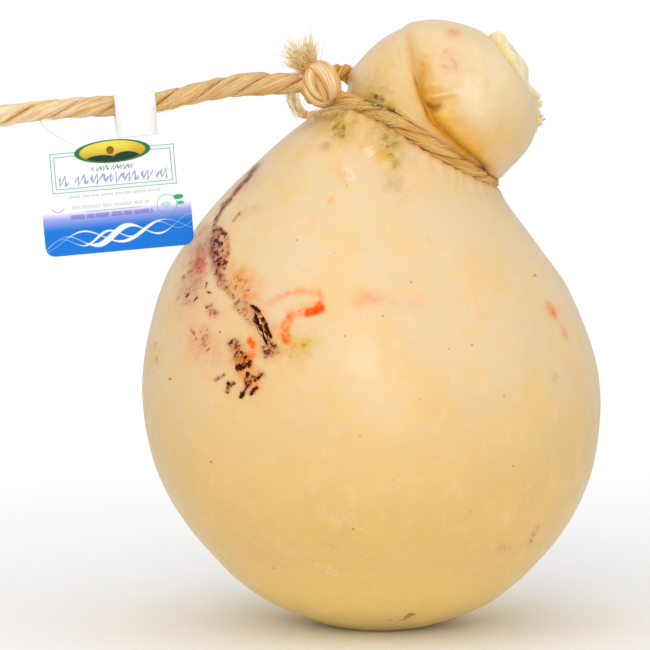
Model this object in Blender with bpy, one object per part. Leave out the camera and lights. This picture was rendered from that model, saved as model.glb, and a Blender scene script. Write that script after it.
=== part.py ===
"""A caciocavallo: an aged cheese shaped like a pear, its small head tied off by a sisal cord.

The noose of the cord sits in the waist under the head, with its knot and frayed end at the left. The
free cord runs out to the left, carries a card tag on a paper strap and ends in a stopper knot.
Metres, +Z up, the fold of the head towards -Y. The origin is the middle of the flat spot underneath.
"""

import math

import bmesh
import bpy
import numpy as np
from mathutils import Matrix, Vector, noise

MM = 0.001
GAP = 0.3
WELD = 0.01

# The cheese's outline in mm: points that face each other across it, from the foot up to the closure
# of the head, as left x, left z, right x, right z. Its sections between them are nearly round.
FOOT_POLE = (0.0, -2.4)
OUTLINE_PAIRS = (
    (-35.6, 8.0, 36.6, 7.2),
    (-58.2, 27.0, 58.0, 25.8),
    (-72.6, 47.8, 71.0, 47.0),
    (-78.6, 69.8, 75.4, 68.0),
    (-78.4, 92.4, 74.4, 87.0),
    (-72.6, 116.0, 69.6, 103.0),
    (-63.0, 132.4, 63.4, 116.6),
    (-50.4, 147.8, 54.4, 128.4),
    (-34.4, 162.8, 46.2, 139.2),
    (-19.2, 174.4, 40.4, 147.2),
    (-10.4, 180.4, 36.4, 152.0),
    (-8.8, 187.2, 40.6, 153.8),
    (-3.8, 193.6, 47.4, 159.0),
    (3.0, 199.6, 52.8, 165.6),
    (11.0, 203.6, 54.8, 171.8),
    (20.2, 204.7, 54.6, 177.2),
    (29.8, 202.9, 53.2, 182.0),
    (38.2, 199.6, 51.2, 186.8),
)
HEAD_POLE = (46.2, 193.8)
ROUNDNESS = 0.96
SEGMENTS = 60
ROWS_IN_SPAN = (5, 4, 3, 3, 3, 3, 3, 3, 3, 4, 5, 5, 4, 3, 3, 3, 3, 3, 4)
HAND_MARKS = 0.5
HAND_MARK_SIZE = 34.0
FOOT_CALM = 14.0

# The head's own relief starts at the waist and is whole a little above it.
WAIST_ROW = 10.5
WAIST_Z = 152.0
HEAD_RUN_IN = 1.5

# The fold of the head in mm, from the top down to the noose: the ball at its right bulges over it.
FOLD_LINE = ((9.4, 200.0), (10.6, 191.0), (13.0, 180.4), (18.0, 170.4), (25.6, 162.8), (34.5, 155.9))
FOLD_DEPTH = 3.6
FOLD_RUN_IN = 6.5
FOLD_LIP = 2.8
FOLD_TOP_SHARE = 0.2
FOLD_WHOLE_FROM = 0.4
BALL_RISE = 1.8
BALL_REACH = 15.0
BALL_START = 3.75
BACK_SHARE = 0.5
SIDE_BLEND = 12.0

# Pinched places on the front of the ball in mm: x, z, radius, depth.
DIMPLES = ((15.6, 189.6, 4.0, 1.2), (18.4, 176.4, 3.6, 1.8), (24.5, 201.0, 3.4, 0.8))
PLEATS = (((17.0, 180.6), (27.0, 182.4), 2.2, 1.3), ((19.0, 186.4), (26.0, 187.0), 2.2, 0.7))
PINCH_BLEND = 8.0

# The closure: a crumpled cap that was pressed on round the head's pole. Rows count outline pairs.
CAP_ROW = 17.75
CAP_GROOVE = 1.3
CAP_GROOVE_WIDTH = 0.22
CAP_EDGE_ROWS = 0.35
CAP_MIDDLE_ROWS = 0.5
CAP_RISE = 1.0
CAP_RUFFLE = 0.9
CAP_RUFFLES = 7
CAP_TWIST = 3.0
CAP_CREASE = 0.54
CAP_CREASES = 11

# The cord in mm. Its noose starts and ends inside the knot.
CORD_RADIUS = 3.2
CORD_BEVEL = 3
NOOSE_ROUTE = (
    (-19.0, -7.4, 181.4),
    (-15.8, -8.0, 179.8),
    (-12.0, -10.8, 178.5),
    (-6.3, -16.6, 176.5),
    (-1.6, -21.0, 174.9),
    (3.8, -24.6, 172.6),
    (13.0, -27.3, 166.6),
    (22.8, -25.4, 159.9),
    (31.8, -17.6, 153.9),
    (36.6, -8.4, 151.0),
    (38.0, 0.0, 150.4),
    (36.2, 10.0, 151.4),
    (30.8, 19.5, 155.0),
    (22.6, 25.5, 160.6),
    (12.8, 27.3, 167.2),
    (3.4, 24.6, 174.0),
    (-4.4, 18.2, 180.6),
    (-9.4, 10.4, 186.0),
    (-11.6, 5.8, 187.4),
    (-14.2, 1.6, 186.8),
    (-17.0, -3.0, 185.0),
    (-19.4, -7.0, 183.4),
)
NOOSE_SPACING = 4.0
NOOSE_ROOT_RUNS = 2
GROOVE_ROOM = 0.35
FREE_ROUTE = (
    (-26.4, -8.6, 183.9),
    (-36.3, -10.0, 183.5),
    (-45.2, -12.5, 183.4),
    (-55.7, -15.9, 181.7),
    (-64.5, -18.7, 179.8),
    (-73.3, -21.0, 177.8),
    (-80.5, -22.3, 177.0),
    (-88.0, -23.0, 176.6),
    (-97.5, -23.4, 176.2),
    (-108.0, -23.4, 175.3),
    (-118.0, -23.0, 174.2),
    (-128.0, -22.4, 172.9),
)
FREE_SPACING = 9.0
CURVE_STEPS = 24

# The knots in mm: a turn of cord round the strands, and the end of the cord frayed to a brush.
TURN_SEGMENTS = 28
TURN_SIDES = 12
ROD_SIDES = 16
PRESSED_CORD_RADIUS = 2.95
CORE_LENGTH = 7.4
KNOT_CENTRE = (-19.4, -8.6, 183.4)
KNOT_TURN_RADIUS = 5.7
KNOT_TURN_AXIS = (0.86, 0.46, 0.2)
KNOT_CORE_RADIUS = 3.8
BRUSH_BASE = (-21.6, -9.0, 187.0)
BRUSH_TIP = (-26.8, -10.0, 196.6)
BRUSH_RADII = (2.4, 4.8)
BRUSH_ROOT_RADII = (3.4, 2.6)
STOPPER_CENTRE = (-134.0, -21.9, 172.3)
STOPPER_TURN_RADIUS = 4.6
STOPPER_CORE_RADII = (3.6, 3.4, 2.6)
STOPPER_CORE_END = 5.0
STOPPER_BRUSH_START = 3.0
STOPPER_BRUSH_RADII = (2.2, 3.8)
STOPPER_BRUSH_TIP = (-147.0, -21.0, 171.0)

# The tag in mm: a card that hangs under the cord, turned in its own plane to follow it, and the
# paper strap that loops over the cord.
CARD_WIDTH = 49.4
CARD_HEIGHT = 38.0
CARD_CORNER = 3.2
CARD_CORNER_STEPS = 7
CARD_THICKNESS = 0.6
CARD_LEFT = 8.8
CARD_DROP = 28.8
STRAP_PLACE = (-80.5, -22.3, 177.0)
STRAP_TILT_DEG = 4.7
STRAP_SWING_DEG = 7.7
STRAP_WIDTH = 13.6
STRAP_THICKNESS = 0.45
STRAP_ROOM = 0.45
STRAP_OVERLAP = 2.5
STRAP_ARC_DEG = (-25, 205)
STRAP_ARC_STEPS = 17
STRAP_TIP_HALF = 0.1

RIND = ((0.91, 0.68, 0.37), 0.4)
SISAL = ((0.79, 0.58, 0.33), 0.85)
CARD = ((0.9, 0.92, 0.95), 0.35)


def clear_scene():
    for old in list(bpy.data.objects):
        bpy.data.objects.remove(old, do_unlink=True)


def finish(obj, colour, roughness):
    """Gives the object a Principled material of its own name."""
    material = bpy.data.materials.new(obj.name + "_finish")
    material.use_nodes = True
    shader = material.node_tree.nodes["Principled BSDF"]
    shader.inputs["Base Color"].default_value = (*colour, 1.0)
    shader.inputs["Roughness"].default_value = roughness
    shader.inputs["Metallic"].default_value = 0.0
    material.diffuse_color = (*colour, 1.0)
    obj.data.materials.clear()
    obj.data.materials.append(material)


def new_collection(name, parent):
    collection = bpy.data.collections.new(name)
    parent.children.link(collection)
    return collection


def add_mesh_object(name, bm, collection):
    mesh = bpy.data.meshes.new(name)
    bm.to_mesh(mesh)
    bm.free()
    obj = bpy.data.objects.new(name, mesh)
    collection.objects.link(obj)
    return obj


def between(before, start, end, after, share):
    """The Catmull-Rom curve's point at this share of the way from start to end."""
    a, b, c, d = (np.asarray(point, float) for point in (before, start, end, after))
    turn = 2 * a - 5 * b + 4 * c - d
    twist = 3 * (b - c) + d - a
    return b + 0.5 * share * ((c - a) + share * (turn + share * twist))


def smooth_route(route, spacing):
    """Points about one spacing apart on the smooth curve through an open route."""
    points = [np.asarray(point, float) for point in route]
    padded = [2 * points[0] - points[1], *points, 2 * points[-1] - points[-2]]
    fine = [
        between(*padded[i : i + 4], step / CURVE_STEPS)
        for i in range(len(points) - 1)
        for step in range(CURVE_STEPS)
    ]
    fine = np.array([*fine, points[-1]])
    travelled = np.concatenate([[0.0], np.cumsum(np.linalg.norm(np.diff(fine, axis=0), axis=1))])
    places = np.linspace(0.0, travelled[-1], round(travelled[-1] / spacing) + 1)
    return np.stack([np.interp(places, travelled, fine[:, axis]) for axis in range(3)], axis=1)


def outline_loop():
    """The closed outline: the foot, up the right side, the head's pole, and down the left side."""
    rights = [(pair[2], pair[3]) for pair in OUTLINE_PAIRS]
    lefts = [(pair[0], pair[1]) for pair in reversed(OUTLINE_PAIRS)]
    return [FOOT_POLE, *rights, HEAD_POLE, *lefts]


def on_loop(loop, place):
    first = math.floor(place)
    corners = [loop[(first + step) % len(loop)] for step in (-1, 0, 1, 2)]
    return between(*corners, place - first)


def cheese_point(loop, row, angle):
    """A point of the plain form: row counts outline pairs from the foot, angle turns from +X to +Y."""
    right = on_loop(loop, row)
    left = on_loop(loop, len(loop) - row)
    middle = (left + right) / 2
    half = (right - left) / 2
    across = middle + half * math.cos(angle)
    depth = np.linalg.norm(half) * ROUNDNESS * math.sin(angle)
    return Vector((across[0], depth, across[1]))


def row_places():
    places = [0.0]
    for span, rows in enumerate(ROWS_IN_SPAN):
        places += [span + (step + 1) / rows for step in range(rows)]
    return places


def off_line(x, z, line):
    """Distance from a line in the XZ plane, positive on its left, and the share of the way along it."""
    nearest = (math.inf, 0.0, 0.0)
    lengths = [math.dist(start, end) for start, end in zip(line, line[1:])]
    run = 0.0
    for start, end, length in zip(line, line[1:], lengths):
        along = ((x - start[0]) * (end[0] - start[0]) + (z - start[1]) * (end[1] - start[1])) / length
        along = min(max(along, 0.0), length)
        foot_x = start[0] + (end[0] - start[0]) * along / length
        foot_z = start[1] + (end[1] - start[1]) * along / length
        distance = math.hypot(x - foot_x, z - foot_z)
        if distance < nearest[0]:
            side = (end[0] - start[0]) * (z - foot_z) - (end[1] - start[1]) * (x - foot_x)
            nearest = (distance, math.copysign(distance, side), (run + along) / sum(lengths))
        run += length
    return nearest[1], nearest[2]


def bell(distance, width):
    return math.exp(-((distance / width) ** 2))


def smooth_step(value):
    value = min(max(value, 0.0), 1.0)
    return value * value * (3 - 2 * value)


def fold_relief(point):
    """The valley of the head's fold, and the rise of the ball beside it."""
    offset, share = off_line(point.x, point.z, FOLD_LINE)
    strength = FOLD_TOP_SHARE + (1.0 - FOLD_TOP_SHARE) * smooth_step(share / FOLD_WHOLE_FROM)
    side_share = 1.0 - (1.0 - BACK_SHARE) * smooth_step(0.5 + point.y / SIDE_BLEND)
    valley = bell(offset, FOLD_LIP if offset > 0 else FOLD_RUN_IN)
    rise = smooth_step(offset / BALL_START) * bell(offset, BALL_REACH)
    return side_share * strength * (BALL_RISE * rise - FOLD_DEPTH * valley)


def pinch_relief(point):
    """The dimples and short pleats on the front of the head."""
    depth = sum(
        deep * bell(math.hypot(point.x - x, point.z - z), radius) for x, z, radius, deep in DIMPLES
    )
    for start, end, width, deep in PLEATS:
        depth += deep * bell(off_line(point.x, point.z, (start, end))[0], width)
    return -depth * smooth_step(-point.y / PINCH_BLEND)


def cap_relief(row, angle):
    """The groove round the closure and the ruffles inside it."""
    groove = -CAP_GROOVE * bell(row - CAP_ROW, CAP_GROOVE_WIDTH)
    to_pole = len(OUTLINE_PAIRS) + 1 - row
    inside = smooth_step((row - CAP_ROW) / CAP_EDGE_ROWS) * smooth_step(to_pole / CAP_MIDDLE_ROWS)
    ruffle = CAP_RUFFLE * math.sin(CAP_RUFFLES * angle + CAP_TWIST * row)
    return groove + inside * (CAP_RISE + ruffle + CAP_CREASE * math.sin(CAP_CREASES * angle))


def build_cheese(collection, cutters):
    """The pear shape from a sphere whose rows follow the outline, moved along its normals."""
    loop = outline_loop()
    rows = row_places()
    last = len(rows) - 1
    bm = bmesh.new()
    bmesh.ops.create_uvsphere(bm, u_segments=SEGMENTS, v_segments=last, radius=1.0)
    places = {}
    for vert in bm.verts:
        row = rows[round((1 - math.acos(max(-1.0, min(1.0, vert.co.z))) / math.pi) * last)]
        angle = math.atan2(vert.co.y, vert.co.x)
        places[vert] = (row, angle)
        vert.co = cheese_point(loop, row, angle)
    bm.normal_update()
    for vert, (row, angle) in places.items():
        relief = HAND_MARKS * noise.noise(vert.co / HAND_MARK_SIZE) * smooth_step(vert.co.z / FOOT_CALM)
        if row > WAIST_ROW and vert.co.z > WAIST_Z:
            relief += fold_relief(vert.co) * smooth_step((row - WAIST_ROW) / HEAD_RUN_IN)
            relief += pinch_relief(vert.co) + cap_relief(row, angle)
        vert.co += vert.normal * relief
        vert.co.z = max(vert.co.z, 0.0)
    bmesh.ops.scale(bm, vec=(MM, MM, MM), verts=bm.verts)
    cheese = add_mesh_object("cheese", bm, collection)
    cheese.data.shade_smooth()
    finish(cheese, *RIND)
    cut_groove(cheese, cutters)


def build_tube(name, points, radius, collection):
    """A round cord through these points in mm, as a curve with filled ends."""
    curve = bpy.data.curves.new(name, "CURVE")
    curve.dimensions = "3D"
    curve.bevel_depth = radius * MM
    curve.bevel_resolution = CORD_BEVEL
    curve.use_fill_caps = True
    spline = curve.splines.new("POLY")
    spline.points.add(len(points) - 1)
    for target, point in zip(spline.points, points):
        target.co = (*(point * MM), 1.0)
    tube = bpy.data.objects.new(name, curve)
    collection.objects.link(tube)
    return tube


def as_mesh(obj, collection):
    """Replaces a curve object by a closed mesh object of the same name and place."""
    bpy.context.view_layer.update()
    evaluated = obj.evaluated_get(bpy.context.evaluated_depsgraph_get())
    mesh = bpy.data.meshes.new_from_object(evaluated)
    bm = bmesh.new()
    bm.from_mesh(mesh)
    bmesh.ops.remove_doubles(bm, verts=bm.verts, dist=WELD * MM)
    bm.to_mesh(mesh)
    bm.free()
    name, placed = obj.name, obj.matrix_world.copy()
    bpy.data.objects.remove(obj, do_unlink=True)
    solid = bpy.data.objects.new(name, mesh)
    solid.matrix_world = placed
    collection.objects.link(solid)
    return solid


def build_rod(name, start, end, radii, collection):
    """A straight round rod or cone between two points in mm."""
    start, end = Vector(start), Vector(end)
    turn = (end - start).to_track_quat("Z", "Y").to_matrix().to_4x4()
    bm = bmesh.new()
    bmesh.ops.create_cone(
        bm,
        cap_ends=True,
        segments=ROD_SIDES,
        radius1=radii[0] * MM,
        radius2=radii[1] * MM,
        depth=(end - start).length * MM,
        matrix=Matrix.Translation((start + end) / 2 * MM) @ turn,
    )
    return add_mesh_object(name, bm, collection)


def build_turn(name, centre, radius, axis, collection):
    """One turn of cord about the strands, as a ring."""
    bpy.ops.mesh.primitive_torus_add(
        major_segments=TURN_SEGMENTS,
        minor_segments=TURN_SIDES,
        major_radius=radius * MM,
        minor_radius=PRESSED_CORD_RADIUS * MM,
        location=Vector(centre) * MM,
        rotation=Vector(axis).to_track_quat("Z", "Y").to_euler(),
    )
    ring = bpy.context.object
    ring.name = name
    for owner in list(ring.users_collection):
        owner.objects.unlink(ring)
    collection.objects.link(ring)
    return ring


def unite(base, others):
    """Joins the others to the base by one union, and removes them."""
    union = base.modifiers.new("union", "BOOLEAN")
    union.operation = "UNION"
    union.operand_type = "COLLECTION"
    union.collection = others
    union.solver = "EXACT"
    bpy.context.view_layer.update()
    evaluated = base.evaluated_get(bpy.context.evaluated_depsgraph_get())
    mesh = bpy.data.meshes.new_from_object(evaluated)
    base.modifiers.clear()
    base.data = mesh
    for other in list(others.objects):
        bpy.data.objects.remove(other, do_unlink=True)
    bpy.data.collections.remove(others)


def halved(points, i):
    """The stretches of a cord before and after the middle of its run from point i to point i + 1."""
    run = points[i + 1] - points[i]
    middle = points[i] + run / 2
    step = run / np.linalg.norm(run) * GAP / 2
    return np.vstack([points[: i + 1], middle - step]), np.vstack([middle + step, points[i + 1 :]])


def noose_stretches():
    """The noose's line as its front root in the knot, its way round the neck, and its back root."""
    points = smooth_route(NOOSE_ROUTE, NOOSE_SPACING)
    front_root, rest = halved(points, NOOSE_ROOT_RUNS)
    turn, back_root = halved(rest, len(rest) - 2 - NOOSE_ROOT_RUNS)
    return front_root, turn, back_root


def cut_groove(cheese, cutters):
    """The groove that the noose bites into the cheese."""
    line = smooth_route(NOOSE_ROUTE, NOOSE_SPACING)[1:-1]
    cutter = as_mesh(build_tube("groove", line, CORD_RADIUS + GROOVE_ROOM, cutters), cutters)
    cutter.hide_render = True
    cutter.display_type = "WIRE"
    groove = cheese.modifiers.new("groove", "BOOLEAN")
    groove.operation = "DIFFERENCE"
    groove.solver = "EXACT"
    groove.object = cutter


def build_noose(collection):
    noose = build_tube("neck_cord", noose_stretches()[1], CORD_RADIUS, collection)
    finish(noose, *SISAL)


def cord_end(last, before):
    """An end of the free cord, and the direction that it points in there."""
    points = smooth_route(FREE_ROUTE, FREE_SPACING)
    direction = points[last] - points[before]
    return points[last], direction / np.linalg.norm(direction)


def build_neck_knot(collection):
    """The knot that closes the noose, with the roots of its strands and the frayed short end."""
    pieces = new_collection("neck_knot_pieces", collection)
    front_root, _, back_root = noose_stretches()
    as_mesh(build_tube("front_root", front_root, CORD_RADIUS, pieces), pieces)
    as_mesh(build_tube("back_root", back_root, CORD_RADIUS, pieces), pieces)
    start, inward = cord_end(0, 1)
    core_end = start + inward * CORE_LENGTH
    build_rod("cord_root", start + inward * GAP, core_end, (CORD_RADIUS, KNOT_CORE_RADIUS), pieces)
    build_rod("brush_root", KNOT_CENTRE, BRUSH_BASE, BRUSH_ROOT_RADII, pieces)
    build_rod("brush", BRUSH_BASE, BRUSH_TIP, BRUSH_RADII, pieces)
    knot = build_turn("neck_knot", KNOT_CENTRE, KNOT_TURN_RADIUS, KNOT_TURN_AXIS, collection)
    unite(knot, pieces)
    finish(knot, *SISAL)


def build_free_cord(collection):
    free = build_tube("hanging_cord", smooth_route(FREE_ROUTE, FREE_SPACING), CORD_RADIUS, collection)
    finish(free, *SISAL)


def build_end_knot(collection):
    """The stopper knot and the brush of fibres that end the free cord."""
    pieces = new_collection("end_knot_pieces", collection)
    end, outward = cord_end(-1, -2)
    centre = np.array(STOPPER_CENTRE)
    root, middle, tip = STOPPER_CORE_RADII
    core_end = centre + outward * STOPPER_CORE_END
    build_rod("stopper_root", end + outward * GAP, end + outward * CORE_LENGTH, (CORD_RADIUS, root), pieces)
    build_rod("stopper_core", centre - outward, core_end, (middle, tip), pieces)
    brush_base = centre + outward * STOPPER_BRUSH_START
    build_rod("stopper_brush", brush_base, STOPPER_BRUSH_TIP, STOPPER_BRUSH_RADII, pieces)
    knot = build_turn("end_knot", STOPPER_CENTRE, STOPPER_TURN_RADIUS, outward, collection)
    unite(knot, pieces)
    finish(knot, *SISAL)


def arc(centre, radius, first_deg, last_deg, count):
    """Points on an arc, with both its ends."""
    angles = [math.radians(first_deg + (last_deg - first_deg) * step / (count - 1)) for step in range(count)]
    return [(centre[0] + radius * math.cos(a), centre[1] + radius * math.sin(a)) for a in angles]


def build_plate(name, outlines, thickness, matrix, collection):
    """A flat plate with these outlines in its own plane, as a closed mesh; inner outlines are holes."""
    curve = bpy.data.curves.new(name, "CURVE")
    curve.dimensions = "2D"
    curve.fill_mode = "BOTH"
    curve.extrude = thickness / 2 * MM
    for outline in outlines:
        spline = curve.splines.new("POLY")
        spline.points.add(len(outline) - 1)
        for target, (x, y) in zip(spline.points, outline):
            target.co = (x * MM, y * MM, 0.0, 1.0)
        spline.use_cyclic_u = True
    plate = bpy.data.objects.new(name, curve)
    plate.matrix_world = matrix
    collection.objects.link(plate)
    return as_mesh(plate, collection)


def strap_matrix():
    """The place and turn of the tag where its strap hangs on the cord."""
    swing = Matrix.Rotation(math.radians(STRAP_SWING_DEG), 4, "Z")
    tilt = Matrix.Rotation(math.radians(-STRAP_TILT_DEG), 4, "Y")
    return Matrix.Translation(Vector(STRAP_PLACE) * MM) @ swing @ tilt


def card_outline():
    right = CARD_WIDTH / 2 - CARD_CORNER
    top = CARD_HEIGHT / 2 - CARD_CORNER
    corners = ((right, top, 0), (-right, top, 90), (-right, -top, 180), (right, -top, 270))
    return [
        point
        for x, y, first in corners
        for point in arc((x, y), CARD_CORNER, first, first + 90, CARD_CORNER_STEPS)
    ]


def build_tag(collection):
    """The card, and the strap that loops over the cord from its top edge."""
    card_place = strap_matrix() @ Matrix.Translation((-CARD_LEFT * MM, 0.0, -CARD_DROP * MM))
    upright = Matrix.Rotation(math.radians(90), 4, "X")
    card = build_plate("tag", [card_outline()], CARD_THICKNESS, card_place @ upright, collection)

    inner_radius = CORD_RADIUS + STRAP_ROOM
    outer_radius = inner_radius + STRAP_THICKNESS
    tip = CARD_HEIGHT / 2 - STRAP_OVERLAP - CARD_DROP
    outer_arc = arc((0, 0), outer_radius, *STRAP_ARC_DEG, STRAP_ARC_STEPS)
    inner_arc = arc((0, 0), inner_radius, *STRAP_ARC_DEG, STRAP_ARC_STEPS)
    outer = [*outer_arc, (-STRAP_TIP_HALF, tip), (STRAP_TIP_HALF, tip)]
    inner = [*inner_arc, (0.0, tip + 2 * STRAP_OVERLAP)]
    edge_on = Matrix(((0, 0, 1, 0), (1, 0, 0, 0), (0, 1, 0, 0), (0, 0, 0, 1)))
    pieces = new_collection("tag_pieces", collection)
    build_plate("strap", [outer, inner], STRAP_WIDTH, strap_matrix() @ edge_on, pieces)
    unite(card, pieces)
    finish(card, *CARD)


def main():
    clear_scene()
    collection = new_collection("caciocavallo", bpy.context.scene.collection)
    cutters = new_collection("cutters", bpy.context.scene.collection)
    build_cheese(collection, cutters)
    build_noose(collection)
    build_neck_knot(collection)
    build_free_cord(collection)
    build_end_knot(collection)
    build_tag(collection)


main()
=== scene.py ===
"""The looks of a tied caciocavallo: its waxy rind, sisal cord, card tag, studio and camera.

It is laid out as a Blender add-on and run as a script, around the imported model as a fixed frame.
Shapes are worked out in millimetres and written to their meshes in metres.
"""

import math

import bmesh
import bpy
import numpy as np
from bpy.props import FloatProperty, FloatVectorProperty, IntProperty, PointerProperty
from mathutils import Matrix, Vector, noise
from mathutils.kdtree import KDTree


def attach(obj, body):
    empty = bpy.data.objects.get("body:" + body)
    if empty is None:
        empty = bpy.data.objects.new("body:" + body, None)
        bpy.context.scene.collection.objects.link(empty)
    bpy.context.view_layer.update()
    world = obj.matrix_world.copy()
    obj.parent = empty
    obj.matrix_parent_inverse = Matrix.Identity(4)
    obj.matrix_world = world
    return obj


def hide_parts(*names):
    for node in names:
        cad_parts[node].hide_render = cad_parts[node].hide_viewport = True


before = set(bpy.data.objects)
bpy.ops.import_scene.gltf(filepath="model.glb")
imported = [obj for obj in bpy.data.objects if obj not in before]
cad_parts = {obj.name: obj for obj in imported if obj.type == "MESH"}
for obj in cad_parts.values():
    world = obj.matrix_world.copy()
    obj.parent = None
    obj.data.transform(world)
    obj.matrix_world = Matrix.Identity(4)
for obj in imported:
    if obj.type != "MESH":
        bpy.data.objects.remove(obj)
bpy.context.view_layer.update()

bl_info = {
    "name": "Tied Caciocavallo",
    "version": (1, 0, 0),
    "blender": (4, 5, 0),
    "location": "3D View > Sidebar > Caciocavallo",
    "description": "Dresses a tied caciocavallo cheese with its rind, sisal cord and card tag",
    "category": "Object",
}

MM = 0.001
BODY = "root"

# The camera looks along +Y and a little down, from far off, as the photo does. In mm and degrees.
CAMERA_AIM = (-17.6, 0.0, 102.0)
CAMERA_DISTANCE = 1250.0
CAMERA_ELEVATION_DEG = 5.0
CAMERA_LENS_MM = 204.8
CAMERA_SENSOR_MM = 36.0
PHOTO_PIXELS = 650
FLOOR_RADIUS = 0.62
FOCAL_PIXELS = CAMERA_LENS_MM / CAMERA_SENSOR_MM * PHOTO_PIXELS
PHOTO_MIDDLE = PHOTO_PIXELS / 2

# The cheese's outline in mm: points that face each other across it, from the foot up to the closure
# of the head, as left x, left z, right x, right z.
FOOT_POLE = (0.0, -2.4)
OUTLINE_PAIRS = (
    (-35.6, 8.0, 36.6, 7.2), (-58.2, 27.0, 58.0, 25.8), (-72.6, 47.8, 71.0, 47.0),
    (-78.6, 69.8, 75.4, 68.0), (-78.4, 92.4, 74.4, 87.0), (-72.6, 116.0, 69.6, 103.0),
    (-63.0, 132.4, 63.4, 116.6), (-50.4, 147.8, 54.4, 128.4), (-34.4, 162.8, 46.2, 139.2),
    (-19.2, 174.4, 40.4, 147.2), (-10.4, 180.4, 36.4, 152.0), (-8.8, 187.2, 40.6, 153.8),
    (-3.8, 193.6, 47.4, 159.0), (3.0, 199.6, 52.8, 165.6), (11.0, 203.6, 54.8, 171.8),
    (20.2, 204.7, 54.6, 177.2), (29.8, 202.9, 53.2, 182.0), (38.2, 199.6, 51.2, 186.8),
)
HEAD_POLE = (46.2, 193.8)
ROUNDNESS = 0.96
FRONT_CROWDING = 0.3
HEAD_CROWDING = 2.0

# Windows of the photo, in its pixels, where the rind's faces are split finer for its marks.
FINE_WINDOWS = (((140, 195), (330, 405)), ((396, 40), (470, 130)), ((320, 92), (408, 170)))
WAIST_ROW = 10.5
WAIST_Z = 152.0
HEAD_RUN_IN = 1.5
FOOT_CALM = 14.0

# The fold of the head in mm, from the top down to the noose. Its ball side is on the right.
FOLD_LINE = (
    (9.4, 200.0), (10.6, 191.0), (13.0, 180.4), (18.0, 170.4), (25.6, 162.8), (34.5, 155.9),
)
FOLD_DEPTH = 3.6
FOLD_RUN_IN = 6.5
FOLD_LIP = 2.8
FOLD_TOP_SHARE = 0.2
FOLD_WHOLE_FROM = 0.4
CREASE_DEPTH = 1.3
CREASE_WIDTH = 0.9
BALL_RISE = 1.8
BALL_REACH = 15.0
BALL_START = 3.75
BACK_SHARE = 0.5
SIDE_BLEND = 12.0

# Pinched places on the front of the head in mm: x, z, radius, depth; and short pleats and, with a
# depth below 0, ridges that run out from the fold and fade.
DIMPLES = (
    (14.7, 186.0, 2.4, 0.9), (15.3, 189.8, 3.2, 0.7), (18.1, 176.0, 1.9, 2.2), (24.8, 200.6, 3.0, 0.8),
)
PLEATS = (
    ((15.2, 181.2), (25.5, 182.2), 1.1, 1.3), ((16.6, 178.1), (30.0, 179.2), 1.4, 1.2),
    ((17.3, 176.0), (23.5, 176.8), 1.0, 1.0), ((14.6, 183.4), (29.5, 185.4), 1.4, -0.9),
    ((17.6, 179.6), (30.0, 182.6), 0.9, -0.8), ((19.0, 174.0), (30.0, 172.0), 2.2, -0.5),
    ((7.4, 196.0), (8.0, 187.0), 0.8, -0.5),
)
PINCH_BLEND = 8.0

# The closure, by rows of the outline.
CAP_GROOVE = 1.8
CAP_GROOVE_WIDTH = 0.15
CAP_RISE = 1.1
CAP_RUFFLE = 0.25
CLOSURE_ROW = 16.0

# The closure's lumps in mm: x, z, radius, height. Then its torn rim: the line that it stands on as
# x, z; how far back its layers are; and the height of its tips, as z, height, half width.
CLOSURE_LUMPS = (
    (41.0, 199.6, 3.0, 0.8), (46.0, 196.2, 1.8, -0.9), (49.2, 192.6, 2.6, 0.4),
    (53.2, 184.8, 3.4, -2.2),
)
TORN_EDGE = (
    (51.2, 182.8), (52.3, 179.6), (52.8, 176.5), (53.0, 173.6), (52.9, 171.0), (52.2, 168.6),
    (50.8, 165.8),
)
TORN_LAYERS = (-1.1, -0.1, 0.9)
TORN_TIPS = (
    (180.6, 1.6, 1.2), (177.0, 1.6, 0.7), (174.0, 0.9, 1.2), (170.8, 2.6, 0.6), (168.0, 0.9, 1.0),
)
TORN_SINK = 1.1

# The hollow at the torn rim in mm: the x where it starts, over how much it deepens, the z of its
# middle and how far it reaches.
TORN_HOLLOW = (49.5, 3.5, 173.5, 8.0)

# The cord in mm. Its noose starts and ends inside the knot.
CORD_DIAMETER = 6.4
NOOSE_ROUTE = (
    (-19.0, -7.4, 181.4), (-15.8, -8.0, 179.8), (-12.0, -10.8, 178.5), (-6.3, -16.6, 176.5),
    (-1.6, -21.0, 174.9), (3.8, -24.6, 172.6), (13.0, -27.3, 166.6), (22.8, -25.4, 159.9),
    (31.8, -17.6, 153.9), (36.6, -8.4, 151.0), (38.0, 0.0, 150.4), (36.2, 10.0, 151.4),
    (30.8, 19.5, 155.0), (22.6, 25.5, 160.6), (12.8, 27.3, 167.2), (3.4, 24.6, 174.0),
    (-4.4, 18.2, 180.6), (-9.4, 10.4, 186.0), (-11.6, 5.8, 187.4), (-14.2, 1.6, 186.8),
    (-17.0, -3.0, 185.0), (-19.4, -7.0, 183.4),
)
CURL_ROUTE = (
    (39.5, -3.0, 154.4), (41.0, -1.0, 153.8), (43.2, 0.0, 152.8), (44.6, 0.4, 150.6),
    (44.2, 0.4, 148.2), (42.6, 0.0, 146.8), (40.6, -1.0, 146.6),
)
FREE_ROUTE = (
    (-26.4, -8.6, 183.9), (-36.3, -10.0, 183.5), (-45.2, -12.5, 183.4), (-55.7, -15.9, 181.7),
    (-64.5, -18.7, 179.8), (-73.3, -21.0, 177.8), (-80.5, -22.3, 177.0), (-88.0, -23.0, 176.6),
    (-97.5, -23.4, 176.2), (-108.0, -23.4, 175.3), (-118.0, -23.0, 174.2), (-128.0, -22.4, 172.9),
)
THREAD_ROUTE = (
    (-112.0, -25.0, 172.6), (-110.0, -26.4, 169.6), (-106.6, -27.0, 167.2), (-103.0, -27.0, 165.2),
    (-100.4, -26.4, 163.6),
)
CORD_LAY = 31.0
FREE_PHASE = 1.9
NOOSE_LAY = 29.0
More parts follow.
